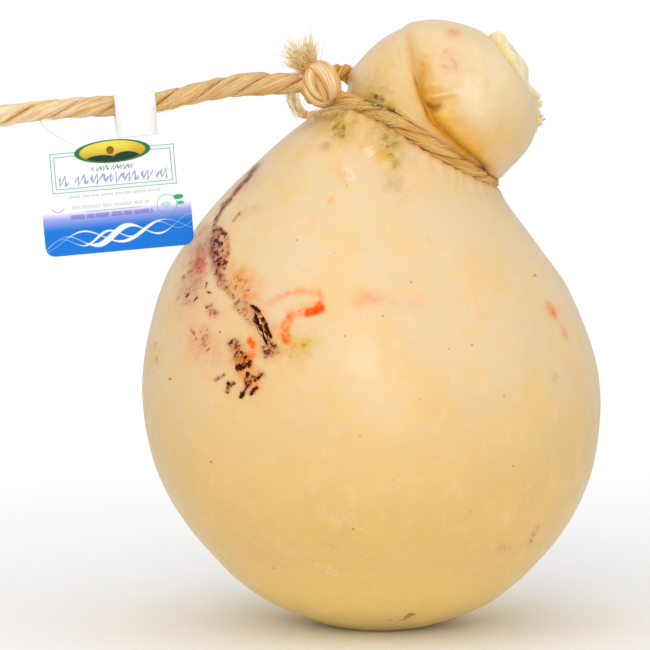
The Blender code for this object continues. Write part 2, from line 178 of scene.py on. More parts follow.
NOOSE_TIGHTENED = 0.82
RING_SPACING = 0.62
PLY_SIDES = 44
PLY_OFFSET = 0.40
PLY_DEEP = 0.59
PLY_WIDE = 0.90
FIBRE_LEAN = 0.26
RIDGE = 0.075
GROOVE_ROOM = 0.05
SHOULDER_RISE = 0.6
SHOULDER_WIDTH = 2.4
NOOSE_LOWEST = 130.0

# The pleats of the shoulders under the noose in mm: the x that they turn about, how many go round,
# and their height.
NECK_MIDDLE_X = 13.0
NECK_PLEATS = 46
NECK_PLEAT_RISE = 0.22

# Fibres: their radius in mm, and how many wisps there are.
STRAY_RADIUS = 0.07
BRUSH_RADIUS = 0.12
FLUFF_RADIUS = 0.05
WISP_RADIUS = 0.06
THREAD_RADIUS = 0.09
WISPS = 70

# The knots in mm.
KNOT_CENTRE = (-19.4, -8.6, 183.4)
KNOT_TURN_RADIUS = 5.7
KNOT_TURN_AXIS = (0.86, 0.46, 0.2)
BRUSH_BASE = (-21.6, -9.0, 187.0)
LOBE_ROUTE = (
    (-21.2, -10.0, 188.1), (-22.7, -12.6, 185.2), (-22.5, -13.8, 182.0), (-21.1, -13.8, 179.3),
    (-19.0, -12.4, 177.9), (-16.6, -10.0, 178.8),
)
WISP_ROUTE = (
    (-29.0, -10.6, 182.0), (-28.3, -12.2, 178.4), (-26.6, -13.4, 175.2), (-24.2, -14.0, 173.4),
    (-20.0, -14.6, 173.6), (-14.5, -16.0, 174.6), (-8.6, -17.0, 175.6), (-3.0, -19.6, 174.6),
)

# Tufts of the frayed ends: lean from upright to the left, swing to the back, both in degrees, length.
NECK_TUFTS = (
    (3, -8, 12.3), (9, 10, 11.6), (13, -12, 11.2), (23, 14, 10.2), (33, -14, 12.2), (41, 4, 12.4),
    (49, -8, 11.8), (59, 12, 10.6), (68, -2, 9.4),
)
FAR_TUFTS = (
    (72, -20, 12.0), (84, 16, 13.0), (95, -14, 13.0), (107, 18, 12.0), (90, 0, 13.4),
)
STOPPER_CENTRE = (-134.0, -21.9, 172.3)
STOPPER_TURN_RADIUS = 4.6

# The tag in mm, in a place of its own that hangs from the cord.
CARD_WIDTH = 49.4
CARD_HEIGHT = 38.0
CARD_CORNER = 3.2
CARD_THICKNESS = 0.6
CARD_SOFTENING = 0.12
CARD_LEFT = 8.8
CARD_DROP = 28.8
STRAP_PLACE = (-80.5, -22.3, 177.0)
STRAP_TILT_DEG = 4.7
STRAP_SWING_DEG = 7.7
STRAP_WIDTH = 13.6
STRAP_THICKNESS = 0.45
STRAP_ROOM = 0.45
STRAP_OVERLAP = 2.5
STRAP_FRONT_OVERLAP = 0.7

# Marks on the front of the rind by kind. Each is its strength and then, in pixels of the photo, half
# its width, how far it fades out, and the x and y of each point of the line that it follows.
MARKS = {
    # Painted shade: golden along the fold's crease, in the pleat valleys and on the ball above the noose,
    # with soft patches on the neck's left and on the lobe.
    "honey": (
        (0.95, 1.5, 6, 414, 72, 421, 88, 428, 104, 434, 119, 443, 130, 457, 142),
        (0.85, 2.0, 7, 450, 139, 470, 153, 486, 166),
        (0.55, 0.5, 5, 407, 36, 409, 48, 412, 62, 415, 80), (0.42, 4, 24, 440, 112, 490, 158),
        (0.9, 1.5, 7, 422, 58, 424, 70, 425, 86), (0.55, 4.0, 11, 420, 52, 429, 74, 430, 92),
        (0.62, 0.5, 4, 422, 92, 436, 92, 452, 89), (0.25, 5, 8, 398, 84, 402, 106),
        (0.35, 8, 12, 332, 128, 350, 122), (0.6, 1.0, 6, 428, 100, 444, 101, 462, 98),
    ),
    "amber": (
        (0.15, 3, 12, 436, 113, 458, 124), (0.12, 5, 12, 462, 133, 478, 146),
        (0.62, 1.5, 5, 446, 30, 454, 33, 462, 36), (0.35, 6, 14, 358, 140, 388, 160),
        (0.4, 4, 7, 340, 172, 348, 181), (0.95, 6, 12, 230, 270, 242, 284, 256, 304),
        (0.62, 8, 10, 248, 306, 260, 326, 272, 350), (0.55, 9, 9, 236, 348, 246, 366, 258, 380),
        (0.55, 3, 6, 329, 201, 333, 203), (0.35, 4, 6, 427, 239, 430, 241),
        (0.3, 5, 9, 310, 218, 316, 224),
    ),
    "gold": (
        (0.45, 3, 12, 436, 113, 458, 124), (0.45, 5, 12, 462, 133, 478, 146),
        (0.95, 3, 8, 380, 148, 386, 155, 390, 162), (0.55, 3, 8, 357, 140, 364, 152),
        (0.45, 3, 8, 337, 170, 350, 182), (0.35, 6, 14, 362, 128, 398, 132),
    ),
    "moss": (
        (0.32, 12, 22, 498, 118, 516, 132, 508, 152), (0.7, 5, 12, 366, 88, 380, 94, 398, 106),
        (0.75, 8, 14, 332, 130, 352, 120), (0.6, 8, 14, 384, 134, 396, 160),
        (0.4, 10, 20, 368, 84, 384, 70, 398, 56), (0.25, 6, 12, 392, 180, 404, 188),
        (0.55, 1.5, 5, 236, 218, 248, 210, 262, 208), (1.0, 8, 9, 286, 349, 298, 348, 312, 342),
        (0.5, 4, 7, 151, 341, 154, 368), (0.3, 6, 9, 168, 320, 180, 306),
    ),
    # Brown stains on the body and small brown arcs on the head; the lines on the head's crease and in its
    # dimples are painted shade.
    "umber": (
        (1.0, 0.6, 4.2, 426, 103, 433, 108, 442, 107),
        (0.7, 0.4, 1.8, 413, 74, 418, 90, 424, 105, 430, 121),
        (0.22, 0.4, 1.6, 442, 54, 446, 51, 450, 53), (0.22, 0.4, 1.6, 439, 67, 444, 66, 448, 68),
        (0.18, 0.4, 1.8, 449, 56, 455, 63, 457, 73), (0.3, 0.5, 3, 451, 31, 455, 33, 459, 34),
        (0.16, 4, 5, 221, 230, 221, 250, 223, 268), (0.2, 6, 8, 248, 306, 262, 326, 272, 350),
        (0.2, 8, 8, 236, 350, 246, 370, 250, 390),
    ),
    "peach": (
        (0.62, 3, 10, 445, 46, 451, 60, 452, 76),
    ),
    "blush": (
        (0.4, 2, 5, 384, 46, 394, 35), (0.65, 2, 5, 245, 184, 232, 194),
        (0.8, 4, 7, 222, 230, 222, 250, 224, 268), (0.6, 6, 6, 211, 306, 215, 320),
        (0.22, 8, 12, 288, 298, 310, 300, 290, 322), (0.55, 9, 12, 192, 322, 203, 346, 208, 364),
        (0.35, 8, 10, 203, 360, 222, 358), (0.72, 3, 7, 350, 302, 366, 298, 388, 301),
        (0.3, 3, 9, 380, 301, 426, 304), (0.42, 3, 5, 478, 313, 485, 321),
        (0.4, 3, 6, 547, 304, 557, 318),
    ),
    # Painted highlight: a pale tone on the head's ball.
    "pale": (
        (0.8, 6, 18, 458, 80, 474, 92, 480, 118), (0.5, 8, 18, 462, 58, 492, 64, 505, 92),
    ),
    "mould": (
        (1.0, 2, 6, 369, 94, 376, 97, 385, 102), (0.8, 2, 6, 385, 105, 397, 110),
        (0.52, 2, 5, 352, 120, 358, 124), (0.82, 6, 11, 332, 124, 346, 132),
        (0.66, 1.5, 5, 322, 149, 331, 145), (0.78, 2, 6, 383, 133, 390, 139),
        (0.76, 3, 9, 387, 141, 398, 146), (0.72, 1.5, 6, 390, 152, 393, 160, 397, 168),
        (0.54, 7, 16, 376, 120, 394, 140, 402, 152), (0.38, 6, 12, 388, 176, 402, 192),
        (0.46, 6, 12, 360, 96, 374, 88, 392, 98),
    ),
    # Chalky flecks; the long streak on the right of the body and the soft blob below its middle are a
    # painted sheen.
    "chalk": (
        (1.0, 4, 7, 364, 147, 373, 157), (1.15, 2.5, 6, 340, 168, 348, 172, 357, 181),
        (0.85, 3, 7, 344, 177, 350, 182), (0.4, 4, 9, 491, 248, 527, 303),
        (0.5, 8, 8, 393, 472, 405, 488), (0.55, 2, 4, 329, 518, 350, 522, 374, 536),
        (0.62, 3, 5, 308, 563, 330, 572, 359, 580), (0.6, 2, 4, 349, 603, 352, 605),
        (0.5, 3, 5, 392, 613, 402, 618),
    ),
    "plum": (
        (1.05, 0.8, 2.8, 262, 162, 253, 171, 245, 181, 236, 191, 230, 199),
        (1.1, 0.8, 2.8, 234, 193, 230, 199, 222, 209, 217, 218, 214, 226),
        (0.85, 1.0, 2.8, 214, 226, 212, 240, 212, 254, 215, 265, 221, 280, 224, 288),
        (0.22, 4, 9, 256, 168, 236, 192),
    ),
    "ink": (
        (0.46, 0.6, 2.4, 224, 205, 218, 216, 215, 225),
        (0.58, 3.5, 4, 217, 230, 216, 244, 220, 256, 222, 265), (0.85, 1.2, 2, 221, 231, 226, 234),
        (0.85, 1.2, 2, 216, 240, 222, 244), (0.8, 1.2, 2, 213, 250, 218, 255),
        (0.85, 1.5, 2.5, 219, 265, 225, 262), (0.42, 1.5, 3, 227, 238, 227, 254),
        (0.45, 3, 5, 216, 268, 222, 284), (0.56, 0.3, 1.6, 233, 221, 240, 213),
        (0.34, 5, 8, 206, 232, 196, 264, 188, 296), (0.62, 0.4, 1.6, 187, 296, 189, 293),
        (0.6, 0.4, 1.6, 193, 301, 198, 297), (0.52, 0.6, 1.6, 182, 278, 184, 276),
        (0.72, 0.5, 1.6, 208, 292, 211, 293), (0.58, 0.5, 1.6, 206, 288, 207, 283),
        (0.55, 1.5, 3, 226, 288, 232, 296), (0.6, 1.0, 2, 235, 304, 239, 300),
        (0.68, 0.6, 2, 206, 307, 211, 305), (0.95, 1.2, 2.2, 252, 307, 256, 309, 259, 312),
        (1.1, 0.9, 1.7, 263, 319, 267, 328, 271, 338), (0.6, 4, 4, 266, 350, 274, 350),
        (0.42, 5, 5, 240, 304, 252, 316), (0.55, 4, 5, 234, 346, 244, 360),
        (0.9, 2.5, 3, 239, 368, 244, 366, 249, 363),
        (0.92, 1.2, 2, 248, 374, 245, 382, 246, 388, 241, 397),
        (0.86, 1.4, 2, 253, 378, 248, 386, 242, 394), (0.86, 1.0, 2, 262, 374, 254, 381),
        (0.88, 1.1, 2, 257, 388, 250, 394), (0.54, 0.6, 2, 191, 330, 194, 334),
        (0.56, 0.8, 2.5, 203, 344, 207, 336), (0.8, 1.2, 2, 229, 384, 233, 383),
        (0.7, 1.2, 2, 229, 385, 227, 392), (0.6, 0.8, 2, 216, 380, 224, 375),
    ),
    "rose": (
        (1.1, 4, 8, 195, 273, 200, 266, 206, 258), (0.42, 5, 15, 206, 236, 198, 262, 192, 300),
    ),
    "russet": (
        (0.3, 7, 8, 196, 272, 206, 262), (0.58, 8, 9, 230, 272, 252, 302),
        (0.74, 4, 3.5, 210, 307, 214, 317), (0.62, 6, 5, 263, 349, 275, 353),
        (0.7, 6, 5, 234, 346, 242, 354, 246, 362), (0.62, 3, 4, 255, 375, 266, 372),
        (0.5, 7, 6, 244, 392, 258, 378), (0.5, 7, 8, 193, 333, 206, 342, 206, 354),
        (0.34, 5, 7, 214, 366, 219, 350), (0.6, 1.5, 2.5, 228, 390, 230, 386),
        (0.66, 1.2, 2.5, 554, 374, 556, 381), (0.6, 2, 3, 498, 550, 506, 547, 512, 546),
        (0.6, 0.8, 2.5, 528, 546, 534, 534, 538, 523), (0.3, 1.0, 3, 318, 538, 345, 556, 380, 560),
    ),
    "blaze": (
        (0.46, 0.8, 5.0, 268, 304, 284, 295, 291, 291, 304, 291, 318, 294),
        (0.62, 0.6, 4.6, 318, 292, 321, 299, 322, 308), (1.45, 1.2, 6.0, 309, 312, 314, 310, 320, 306),
        (0.66, 1.6, 6, 305, 311, 293, 314, 287, 323), (0.74, 3.0, 5, 289, 320, 284, 330, 286, 340),
        (0.5, 1.4, 5, 275, 328, 284, 330), (0.95, 2, 3.5, 250, 341, 253, 345),
        (0.72, 3, 5, 252, 352, 246, 362), (0.35, 5, 6, 246, 372, 256, 384),
        (0.66, 1.5, 3, 549, 307, 555, 316), (0.5, 1.2, 3, 562, 328, 566, 338),
    ),
    "olive": (
        (0.3, 8, 9, 290, 350, 306, 348), (0.8, 1.0, 3, 287, 357, 296, 356),
        (0.34, 3, 5, 151, 341, 154, 368), (0.26, 3, 4, 173, 306, 177, 313),
        (0.55, 1.5, 3, 534, 275, 536, 277), (0.5, 0.8, 3, 427, 285, 438, 287),
        (0.6, 1.0, 2.5, 387, 622, 402, 619, 416, 613),
    ),
    "strip": (
        (0.6, 4.5, 2.5, 258, 318, 264, 331, 270, 343), (0.95, 0.8, 1.6, 257, 319, 262, 331, 267, 342),
    ),
}

# Marks on the cord, given in the same way.
CORD_MARKS = {
    "mould": (
        (0.85, 4, 7, 358, 98, 376, 104, 398, 113), (0.55, 7, 9, 350, 100, 404, 120),
        (0.3, 4, 7, 424, 138, 442, 150), (0.28, 2, 5, 332, 76, 336, 86),
    ),
}

# Single specks on the front, as pixels of the photo and their radius.
SPECKS = (
    (411, 282, 1.3), (383, 316, 1.2), (472, 345, 1.3), (449, 349, 1.0), (504, 396, 1.2),
    (420, 399, 1.0), (345, 336, 1.1), (211, 462, 1.5), (360, 436, 1.1), (353, 529, 1.3),
    (471, 512, 1.0), (513, 466, 1.1), (274, 568, 1.2), (297, 240, 1.1), (304, 271, 0.8),
    (335, 253, 0.8), (347, 185, 0.9), (301, 304, 0.8), (170, 379, 1.6), (220, 332, 1.5),
)

# The marks that lie as soft tones. The others keep firm edges.
SOFT_MARKS = (
    "honey", "amber", "umber", "peach", "moss", "blush", "rose", "plum", "gold", "mould", "russet",
    "chalk", "pale",
)

# Faint marks of age on the far side: kind, strength, size in mm, shift of the noise, where in it
# they start, and how steeply.
AGE_MARKS = (
    ("mould", 0.34, 26.0, 300.0, 0.15, 3),
    ("amber", 0.2, 30.0, 900.0, 0.1, 2),
    ("chalk", 0.4, 14.0, -500.0, 0.3, 4),
    ("blush", 0.2, 30.0, 77.0, 0.1, 3),
)

# Tones of the marks in the order that they are laid on: kind, tint and the most of it.
TONES = (
    # Painted highlight on the head's ball.
    ("pale", "#fdeccb", 0.7),
    ("amber", "#f2a350", 0.85),
    ("peach", "#eeb07c", 0.8),
    # Golden painted shade in the head's fold, its pleats and above the noose.
    ("honey", "#e49c00", 0.9),
    # Brown stain, and painted shade in the head's crease and dimples.
    ("umber", "#a05a04", 0.9),
    ("moss", "#dca828", 0.75),
    ("gold", "#ecb428", 0.75),
    ("blush", "#f29a72", 0.75),
    ("rose", "#e25a1c", 0.85),
    ("plum", "#8a4a2e", 0.9),
    ("mould", "#9c8234", 0.62),
    ("ink", "#b0501c", 0.85),
    ("russet", "#d8804c", 0.5),
    ("blaze", "#f4801c", 0.9),
)

# Broken stains over the tones: kind, tint, pattern, softness of the edge, the most of it, and how
# much of the pattern is held back.
STAINS = (
    ("plum", "#5a3428", "rising", 0.5, 0.8, 0.12),
    ("olive", "#94822c", "blotch", 0.3, 0.85, 0.0),
    # Pale specks over the chalky flecks and over the painted sheen.
    ("chalk", "#f8e2c4", "specks", 1.1, 0.8, -0.12),
    ("blaze", "#f2641c", "dots", 0.4, 0.85, 0.10),
    ("blaze", "#ee4000", "dots", 0.5, 1.0, 0.72),
    ("mould", "#82621c", "dots", 1.2, 0.8, -0.06),
    ("mould", "#4a3008", "dots", 0.7, 0.85, 0.22),
    ("russet", "#a0502c", "rising", 0.5, 0.85, -0.05),
    ("russet", "#5a180c", "rising", 0.25, 0.9, 0.25),
    ("strip", "#260400", "falling", 0.22, 1.0, 0.0),
    ("ink", "#7c2c0c", "rising", 0.6, 0.92, -0.16),
    ("ink", "#300400", "rising", 0.3, 1.0, 0.12),
)

# The lights in metres: the name, the place, the width and the height that it aims at.
LIGHTS = (
    ("key", (-0.35, -0.9, 1.15), 1.0, 0.1),
    ("side", (1.1, -0.5, 0.6), 0.7, 0.1),
    ("front", (-0.08, -0.95, 0.42), 0.24, 0.1),
    ("top", (0.0, 0.1, 1.5), 1.6, 0.1),
    ("low", (0.05, -0.8, 0.07), 0.4, 0.02),
)
BACKDROP_STRENGTH = 1.02


def smooth_step(value):
    value = np.clip(value, 0.0, 1.0)
    return value * value * (3 - 2 * value)


def bell(distance, width):
    return np.exp(-((distance / width) ** 2))


def unit(vectors):
    return vectors / np.maximum(np.linalg.norm(vectors, axis=-1, keepdims=True), 1e-12)


def grain(points, size):
    """Perlin noise at each of the points, whose waves are about this size."""
    return np.array([noise.noise(Vector(point)) for point in points / size])


def travel(line):
    """How far each point of a line is from its start, along it."""
    return np.concatenate([[0.0], np.cumsum(np.linalg.norm(np.diff(line, axis=0), axis=1))])


def read_along(places, run, values):
    """Vectors that are given at distances along a line, read at other distances."""
    return np.stack([np.interp(places, run, values[:, axis]) for axis in range(3)], axis=1)


def on_loop(loop, places):
    """Points of the closed Catmull-Rom curve at these places along it."""
    first = np.floor(places).astype(int)
    share = (places - first)[:, None]
    a, b, c, d = (loop[(first + step) % len(loop)] for step in (-1, 0, 1, 2))
    turn = 2 * a - 5 * b + 4 * c - d
    twist = 3 * (b - c) + d - a
    return b + 0.5 * share * ((c - a) + share * (turn + share * twist))


def smooth_route(route, spacing):
    """Points about one spacing apart on the smooth curve through an open route."""
    points = np.array(route, float)
    padded = np.vstack([2 * points[0] - points[1], points, 2 * points[-1] - points[-2]])
    places = np.linspace(1, len(points), 24 * (len(points) - 1) + 1)
    places[-1] -= 1e-9
    fine = on_loop(padded, places)
    run = travel(fine)
    return read_along(np.linspace(0.0, run[-1], round(run[-1] / spacing) + 1), run, fine)


def off_polyline(points, line):
    """Each 2-D point's distance from a line, positive on its left, and its share of the way along."""
    line = np.array(line, float)
    run = travel(line)
    best = np.full(len(points), np.inf)
    signed = np.zeros(len(points))
    share = np.zeros(len(points))
    for start, end, before, length in zip(line, line[1:], run, np.diff(run)):
        way = (end - start) / length
        along = np.clip((points - start) @ way, 0.0, length)
        away = points - start - along[:, None] * way
        distance = np.linalg.norm(away, axis=1)
        nearer = distance < best
        side = way[0] * away[:, 1] - way[1] * away[:, 0]
        signed[nearer] = np.copysign(distance, side)[nearer]
        share[nearer] = ((before + along) / run[-1])[nearer]
        best = np.minimum(best, distance)
    return signed, share


def off_rope(points, line):
    """Vectors to points from the nearest one of a fine line, square to it, and which one that is."""
    tree = KDTree(len(line))
    for i, place in enumerate(line):
        tree.insert(place, i)
    tree.balance()
    nearest = np.array([tree.find(point)[1] for point in points])
    along = unit(np.gradient(line, axis=0))[nearest]
    away = points - line[nearest]
    return away - (away * along).sum(1)[:, None] * along, nearest


def camera_axes():
    tilt = math.radians(CAMERA_ELEVATION_DEG)
    ahead = np.array([0.0, math.cos(tilt), -math.sin(tilt)])
    up = np.array([0.0, math.sin(tilt), math.cos(tilt)])
    return np.array(CAMERA_AIM) - CAMERA_DISTANCE * ahead, ahead, up


def photo_pixels(points):
    """Where points in mm show in the photo, in its pixels."""
    eye, ahead, up = camera_axes()
    rays = points - eye
    depth = rays @ ahead
    across = PHOTO_MIDDLE + FOCAL_PIXELS * rays[:, 0] / depth
    return np.stack([across, PHOTO_MIDDLE - FOCAL_PIXELS * (rays @ up) / depth], axis=1)


def new_object(name, mesh, material, replaced=()):
    """Links a mesh as a piece that rides on the body."""
    obj = bpy.data.objects.new(name, mesh)
    bpy.context.scene.collection.objects.link(obj)
    for one in material if isinstance(material, (list, tuple)) else [material]:
        mesh.materials.append(one)
    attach(obj, BODY)
    if replaced:
        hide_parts(*replaced)
    return obj


def take_mesh(bm, name):
    """Writes a bmesh to a new mesh and frees it."""
    mesh = bpy.data.meshes.new(name)
    bm.to_mesh(mesh)
    bm.free()
    return mesh


def smooth_shaded(mesh):
    mesh.polygons.foreach_set("use_smooth", np.ones(len(mesh.polygons), bool))
    return mesh


def add_attribute(mesh, name, values):
    mesh.attributes.new(name, "FLOAT", "POINT").data.foreach_set("value", values.astype(np.float32))


def read_vectors(mesh, field):
    values = np.zeros(len(mesh.vertices) * 3, np.float32)
    mesh.vertices.foreach_get(field, values)
    return values.reshape(-1, 3).astype(float)


def set_places(mesh, points):
    """Moves a mesh's points, given in mm, and returns its new normals."""
    mesh.vertices.foreach_set("co", (points * MM).astype(np.float32).ravel())
    mesh.update()
    return read_vectors(mesh, "normal")


def rgb(hex_colour):
    """A linear colour with alpha from its usual hex form."""
    parts = [int(hex_colour[i : i + 2], 16) / 255 for i in (1, 3, 5)]
    return (*[p / 12.92 if p <= 0.04045 else ((p + 0.055) / 1.055) ** 2.4 for p in parts], 1.0)


class Finish:
    """A Principled material, with short ways to add the nodes that feed it."""

    def __init__(self, name):
        self.material = bpy.data.materials.new(name)
        self.material.use_nodes = True
        self.tree = self.material.node_tree
        self.shader = self.tree.nodes["Principled BSDF"]

    def feed(self, socket, value):
        if isinstance(value, bpy.types.NodeSocket):
            self.tree.links.new(value, socket)
        else:
            socket.default_value = value

    def set(self, **values):
        """Sets the shader's sockets: an underscore in a name stands for a space."""
        for name, value in values.items():
            self.feed(self.shader.inputs[name.replace("_", " ")], value)
        return self.material

    def add(self, kind, inputs, **settings):
        made = self.tree.nodes.new("ShaderNode" + kind)
        for name, value in settings.items():
            setattr(made, name, value)
        for socket, value in inputs.items():
            self.feed(made.inputs[socket], value)
        return made

    def places(self, scale=1000.0):
        """Object coordinates, in mm unless another scale is given."""
        inputs = {"Vector": self.add("TexCoord", {}).outputs["Object"], "Scale": (scale,) * 3}
        return self.add("Mapping", inputs).outputs[0]

    def streaks(self, lean_deg, length, width):
        """Noise in streaks that lean in the front's plane, of a size in mm."""
        inputs = {
            "Vector": self.add("TexCoord", {}).outputs["Object"],
            "Rotation": (0.0, -math.radians(lean_deg), 0.0),
            "Scale": (length * MM, length * MM, width * MM),
        }
        return self.noise(self.add("Mapping", inputs, vector_type="TEXTURE").outputs[0], 1.0, 3.0, 0.6)

    def uv_map(self, name):
        return self.add("UVMap", {}, uv_map=name).outputs["UV"]

    def part(self, vector, axis):
        return self.add("SeparateXYZ", {"Vector": vector}).outputs[axis]

    def attribute(self, name):
        return self.add("Attribute", {}, attribute_name=name).outputs["Fac"]

    def noise(self, vector, scale, detail=2.0, roughness=0.5):
        inputs = {"Vector": vector, "Scale": scale, "Detail": detail, "Roughness": roughness}
        return self.add("TexNoise", inputs).outputs["Fac"]

    def vector_math(self, operation, *vectors, output="Value"):
        return self.add("VectorMath", dict(enumerate(vectors)), operation=operation).outputs[output]

    def math(self, operation, *values):
        """A Math node, or some in a row where there are more than two values."""
        made = self.add("Math", dict(enumerate(values[:2])), operation=operation).outputs[0]
        return self.math(operation, made, *values[2:]) if len(values) > 2 else made

    def times(self, *values):
        return self.math("MULTIPLY", *values)

    def plus(self, *values):
        return self.math("ADD", *values)

    def less(self, value, taken):
        return self.math("SUBTRACT", value, taken)

    def size(self, value):
        return self.math("ABSOLUTE", value)

    def ranged(self, value, low, high, to_low=0.0, to_high=1.0, smooth=True):
        inputs = {"Value": value, "From Min": low, "From Max": high, "To Min": to_low, "To Max": to_high}
        kind = "SMOOTHSTEP" if smooth else "LINEAR"
        return self.add("MapRange", inputs, interpolation_type=kind).outputs[0]

    def mix(self, share, first, second, blend="MIX"):
        made = self.add("Mix", {0: share, 6: first, 7: second}, data_type="RGBA", blend_type=blend)
        return made.outputs[2]

    def over(self, colour, *layers):
        """A colour with tints laid over it in turn, each after its share."""
        for share, tint in layers:
            colour = self.mix(share, colour, rgb(tint))
        return colour

    def bump(self, height, strength, distance, normal=None):
        inputs = {"Height": height, "Strength": strength, "Distance": distance}
        if normal is not None:
            inputs["Normal"] = normal
        return self.add("Bump", inputs).outputs["Normal"]


def outline_loop():
    """The closed outline: the foot, up the right side, the head's pole, and down the left side."""
    rights = [(pair[2], pair[3]) for pair in OUTLINE_PAIRS]
    lefts = [(pair[0], pair[1]) for pair in reversed(OUTLINE_PAIRS)]
    return np.array([FOOT_POLE, *rights, HEAD_POLE, *lefts])


def plain_cheese(rows, angles):
    """Points of the plain pear form: rows count outline pairs, angles turn from +X to +Y."""
    loop = outline_loop()
    right = on_loop(loop, rows)
    left = on_loop(loop, len(loop) - rows)
    half = (right - left) / 2
    across = (left + right) / 2 + half * np.cos(angles)[:, None]
    depth = np.linalg.norm(half, axis=1) * ROUNDNESS * np.sin(angles)
    return np.stack([across[:, 0], depth, across[:, 1]], axis=1)


def row_places(count):
    """Places up the outline, one for each row of the rind, closer together on the head."""
    fine = np.linspace(0, len(OUTLINE_PAIRS) + 1, 4000)
    sides = [plain_cheese(fine, np.full(len(fine), angle)) for angle in (0.0, math.pi)]
    steps = sum(np.linalg.norm(np.diff(side, axis=0), axis=1) for side in sides)
    steps = steps * np.where(fine[1:] > WAIST_ROW - 1, HEAD_CROWDING, 1.0)
    run = np.concatenate([[0.0], np.cumsum(steps)])
    return np.interp(np.linspace(0, run[-1], count + 1), run, fine)


def rind_grid(sphere, places):
    """The outline row and the turn of points on the unit sphere that the rind starts from."""
    levels = 1 - np.arccos(np.clip(unit(sphere)[:, 2], -1, 1)) / math.pi
    rows = np.interp(levels * (len(places) - 1), np.arange(len(places)), places)
    angles = np.arctan2(sphere[:, 1], sphere[:, 0])
    return rows, angles - FRONT_CROWDING * np.cos(angles)


def fold_relief(points):
    """The valley of the head's fold with the rise of the ball beside it, and the share of golden painted
    shade along the fold.
    """
    offset, share = off_polyline(points[:, [0, 2]], FOLD_LINE)
    whole = smooth_step(share / FOLD_WHOLE_FROM)
    side_share = 1 - (1 - BACK_SHARE) * smooth_step(0.5 + points[:, 1] / SIDE_BLEND)
    valley = np.where(offset > 0, bell(offset, FOLD_LIP), bell(offset, FOLD_RUN_IN))
    rise = smooth_step(offset / BALL_START) * bell(offset, BALL_REACH)
    ending = 1 - 0.45 * smooth_step((share - 0.72) / 0.28)
    relief = BALL_RISE * rise - FOLD_DEPTH * valley * ending
    relief = (FOLD_TOP_SHARE + (1 - FOLD_TOP_SHARE) * whole) * relief
    relief = relief - CREASE_DEPTH * bell(offset, CREASE_WIDTH) * whole * ending
    golden = np.where(offset > 0, bell(offset, 7.0), bell(offset, 2.6)) * smooth_step((1.04 - share) * 6)
    return side_share * relief, side_share * golden * (0.25 + 0.75 * smooth_step(share * 1.6))


def pinch_relief(points):
    """The dimples and short pleats on the front of the head."""
    flat = points[:, [0, 2]]
    depth = sum(deep * bell(np.linalg.norm(flat - (x, z), axis=1), wide) for x, z, wide, deep in DIMPLES)
    for start, end, width, deep in PLEATS:
        offset, share = off_polyline(flat, (start, end))
        depth = depth + deep * bell(offset, width) * (1 - smooth_step(share))
    return depth * smooth_step(-points[:, 1] / PINCH_BLEND)


def cap_relief(rows, angles):
    """The closure's groove, which is lost on the right, the soft lumpy roll inside it, and a band along the
    groove for painted shade.
    """
    groove_row = 17.11 - 0.82 * np.cos(angles) + 0.2 * np.sin(angles) - 0.09 * np.cos(2 * angles)
    groove_row = groove_row + 0.5 * bell(angles + 1.7, 0.9)
    off = rows - groove_row - 0.04 * np.sin(5 * angles + 1.0)
    whole = 0.15 + 0.85 * smooth_step((0.75 - np.cos(angles)) / 0.6)
    groove = -CAP_GROOVE * bell(off, CAP_GROOVE_WIDTH) * whole
    inside = smooth_step(off / 0.35)
    lumps = 1 + 0.6 * np.sin(5 * angles + 0.8 + 1.6 * rows) + 0.4 * np.sin(11 * angles - 1.0)
    roll = CAP_RISE * inside * (0.35 + 0.65 * whole) * (1 - 0.5 * smooth_step((rows - 18.3) / 0.7)) * lumps
    ruffle = np.sin(6 * angles + 4 * rows) + 0.6 * np.sin(11 * angles - 2 * rows)
    ruffle = CAP_RUFFLE * ruffle * smooth_step((off - 0.6) / 0.9) * smooth_step((19.0 - rows) / 0.5)
    return groove + roll + ruffle, inside, bell(off - 0.08, 0.075) * whole


def noose_groove(points, normals):
    """How far the rind moves along its normals where the noose presses in, and how near the noose is, which
    lays painted shade beside it.
    """
    line = smooth_route(NOOSE_ROUTE, 0.5)[8:-8]
    near = np.where(points[:, 2] > NOOSE_LOWEST)[0]
    places = points[near]
    away, nearest = off_rope(places, line)
    distance = np.linalg.norm(away, axis=1)
    outward = (away * normals[near]).sum(1)
    ring = NOOSE_TIGHTENED * CORD_DIAMETER / 2 + GROOVE_ROOM
    bitten = distance < ring
    depth = np.zeros(len(near))
    depth[bitten] = outward[bitten] + np.sqrt(outward[bitten] ** 2 - distance[bitten] ** 2 + ring**2)
    turn = np.arctan2(places[:, 1], places[:, 0] - NECK_MIDDLE_X)
    pleats = NECK_PLEAT_RISE * np.sin(NECK_PLEATS * turn + 4 * grain(places, 7.0))
    pleats = pleats * bell(distance - ring, 9.0)
    below = places[:, 2] < line[nearest][:, 2]
    swell = SHOULDER_RISE * bell(distance - ring - 1.2, SHOULDER_WIDTH) + np.where(below, pleats, 0.0)
    move, bite = np.zeros(len(points)), np.zeros(len(points))
    move[near] = np.where(bitten, -depth, swell)
    bite[near] = bell(np.maximum(distance - ring, 0.0), 2.6)
    return move, bite


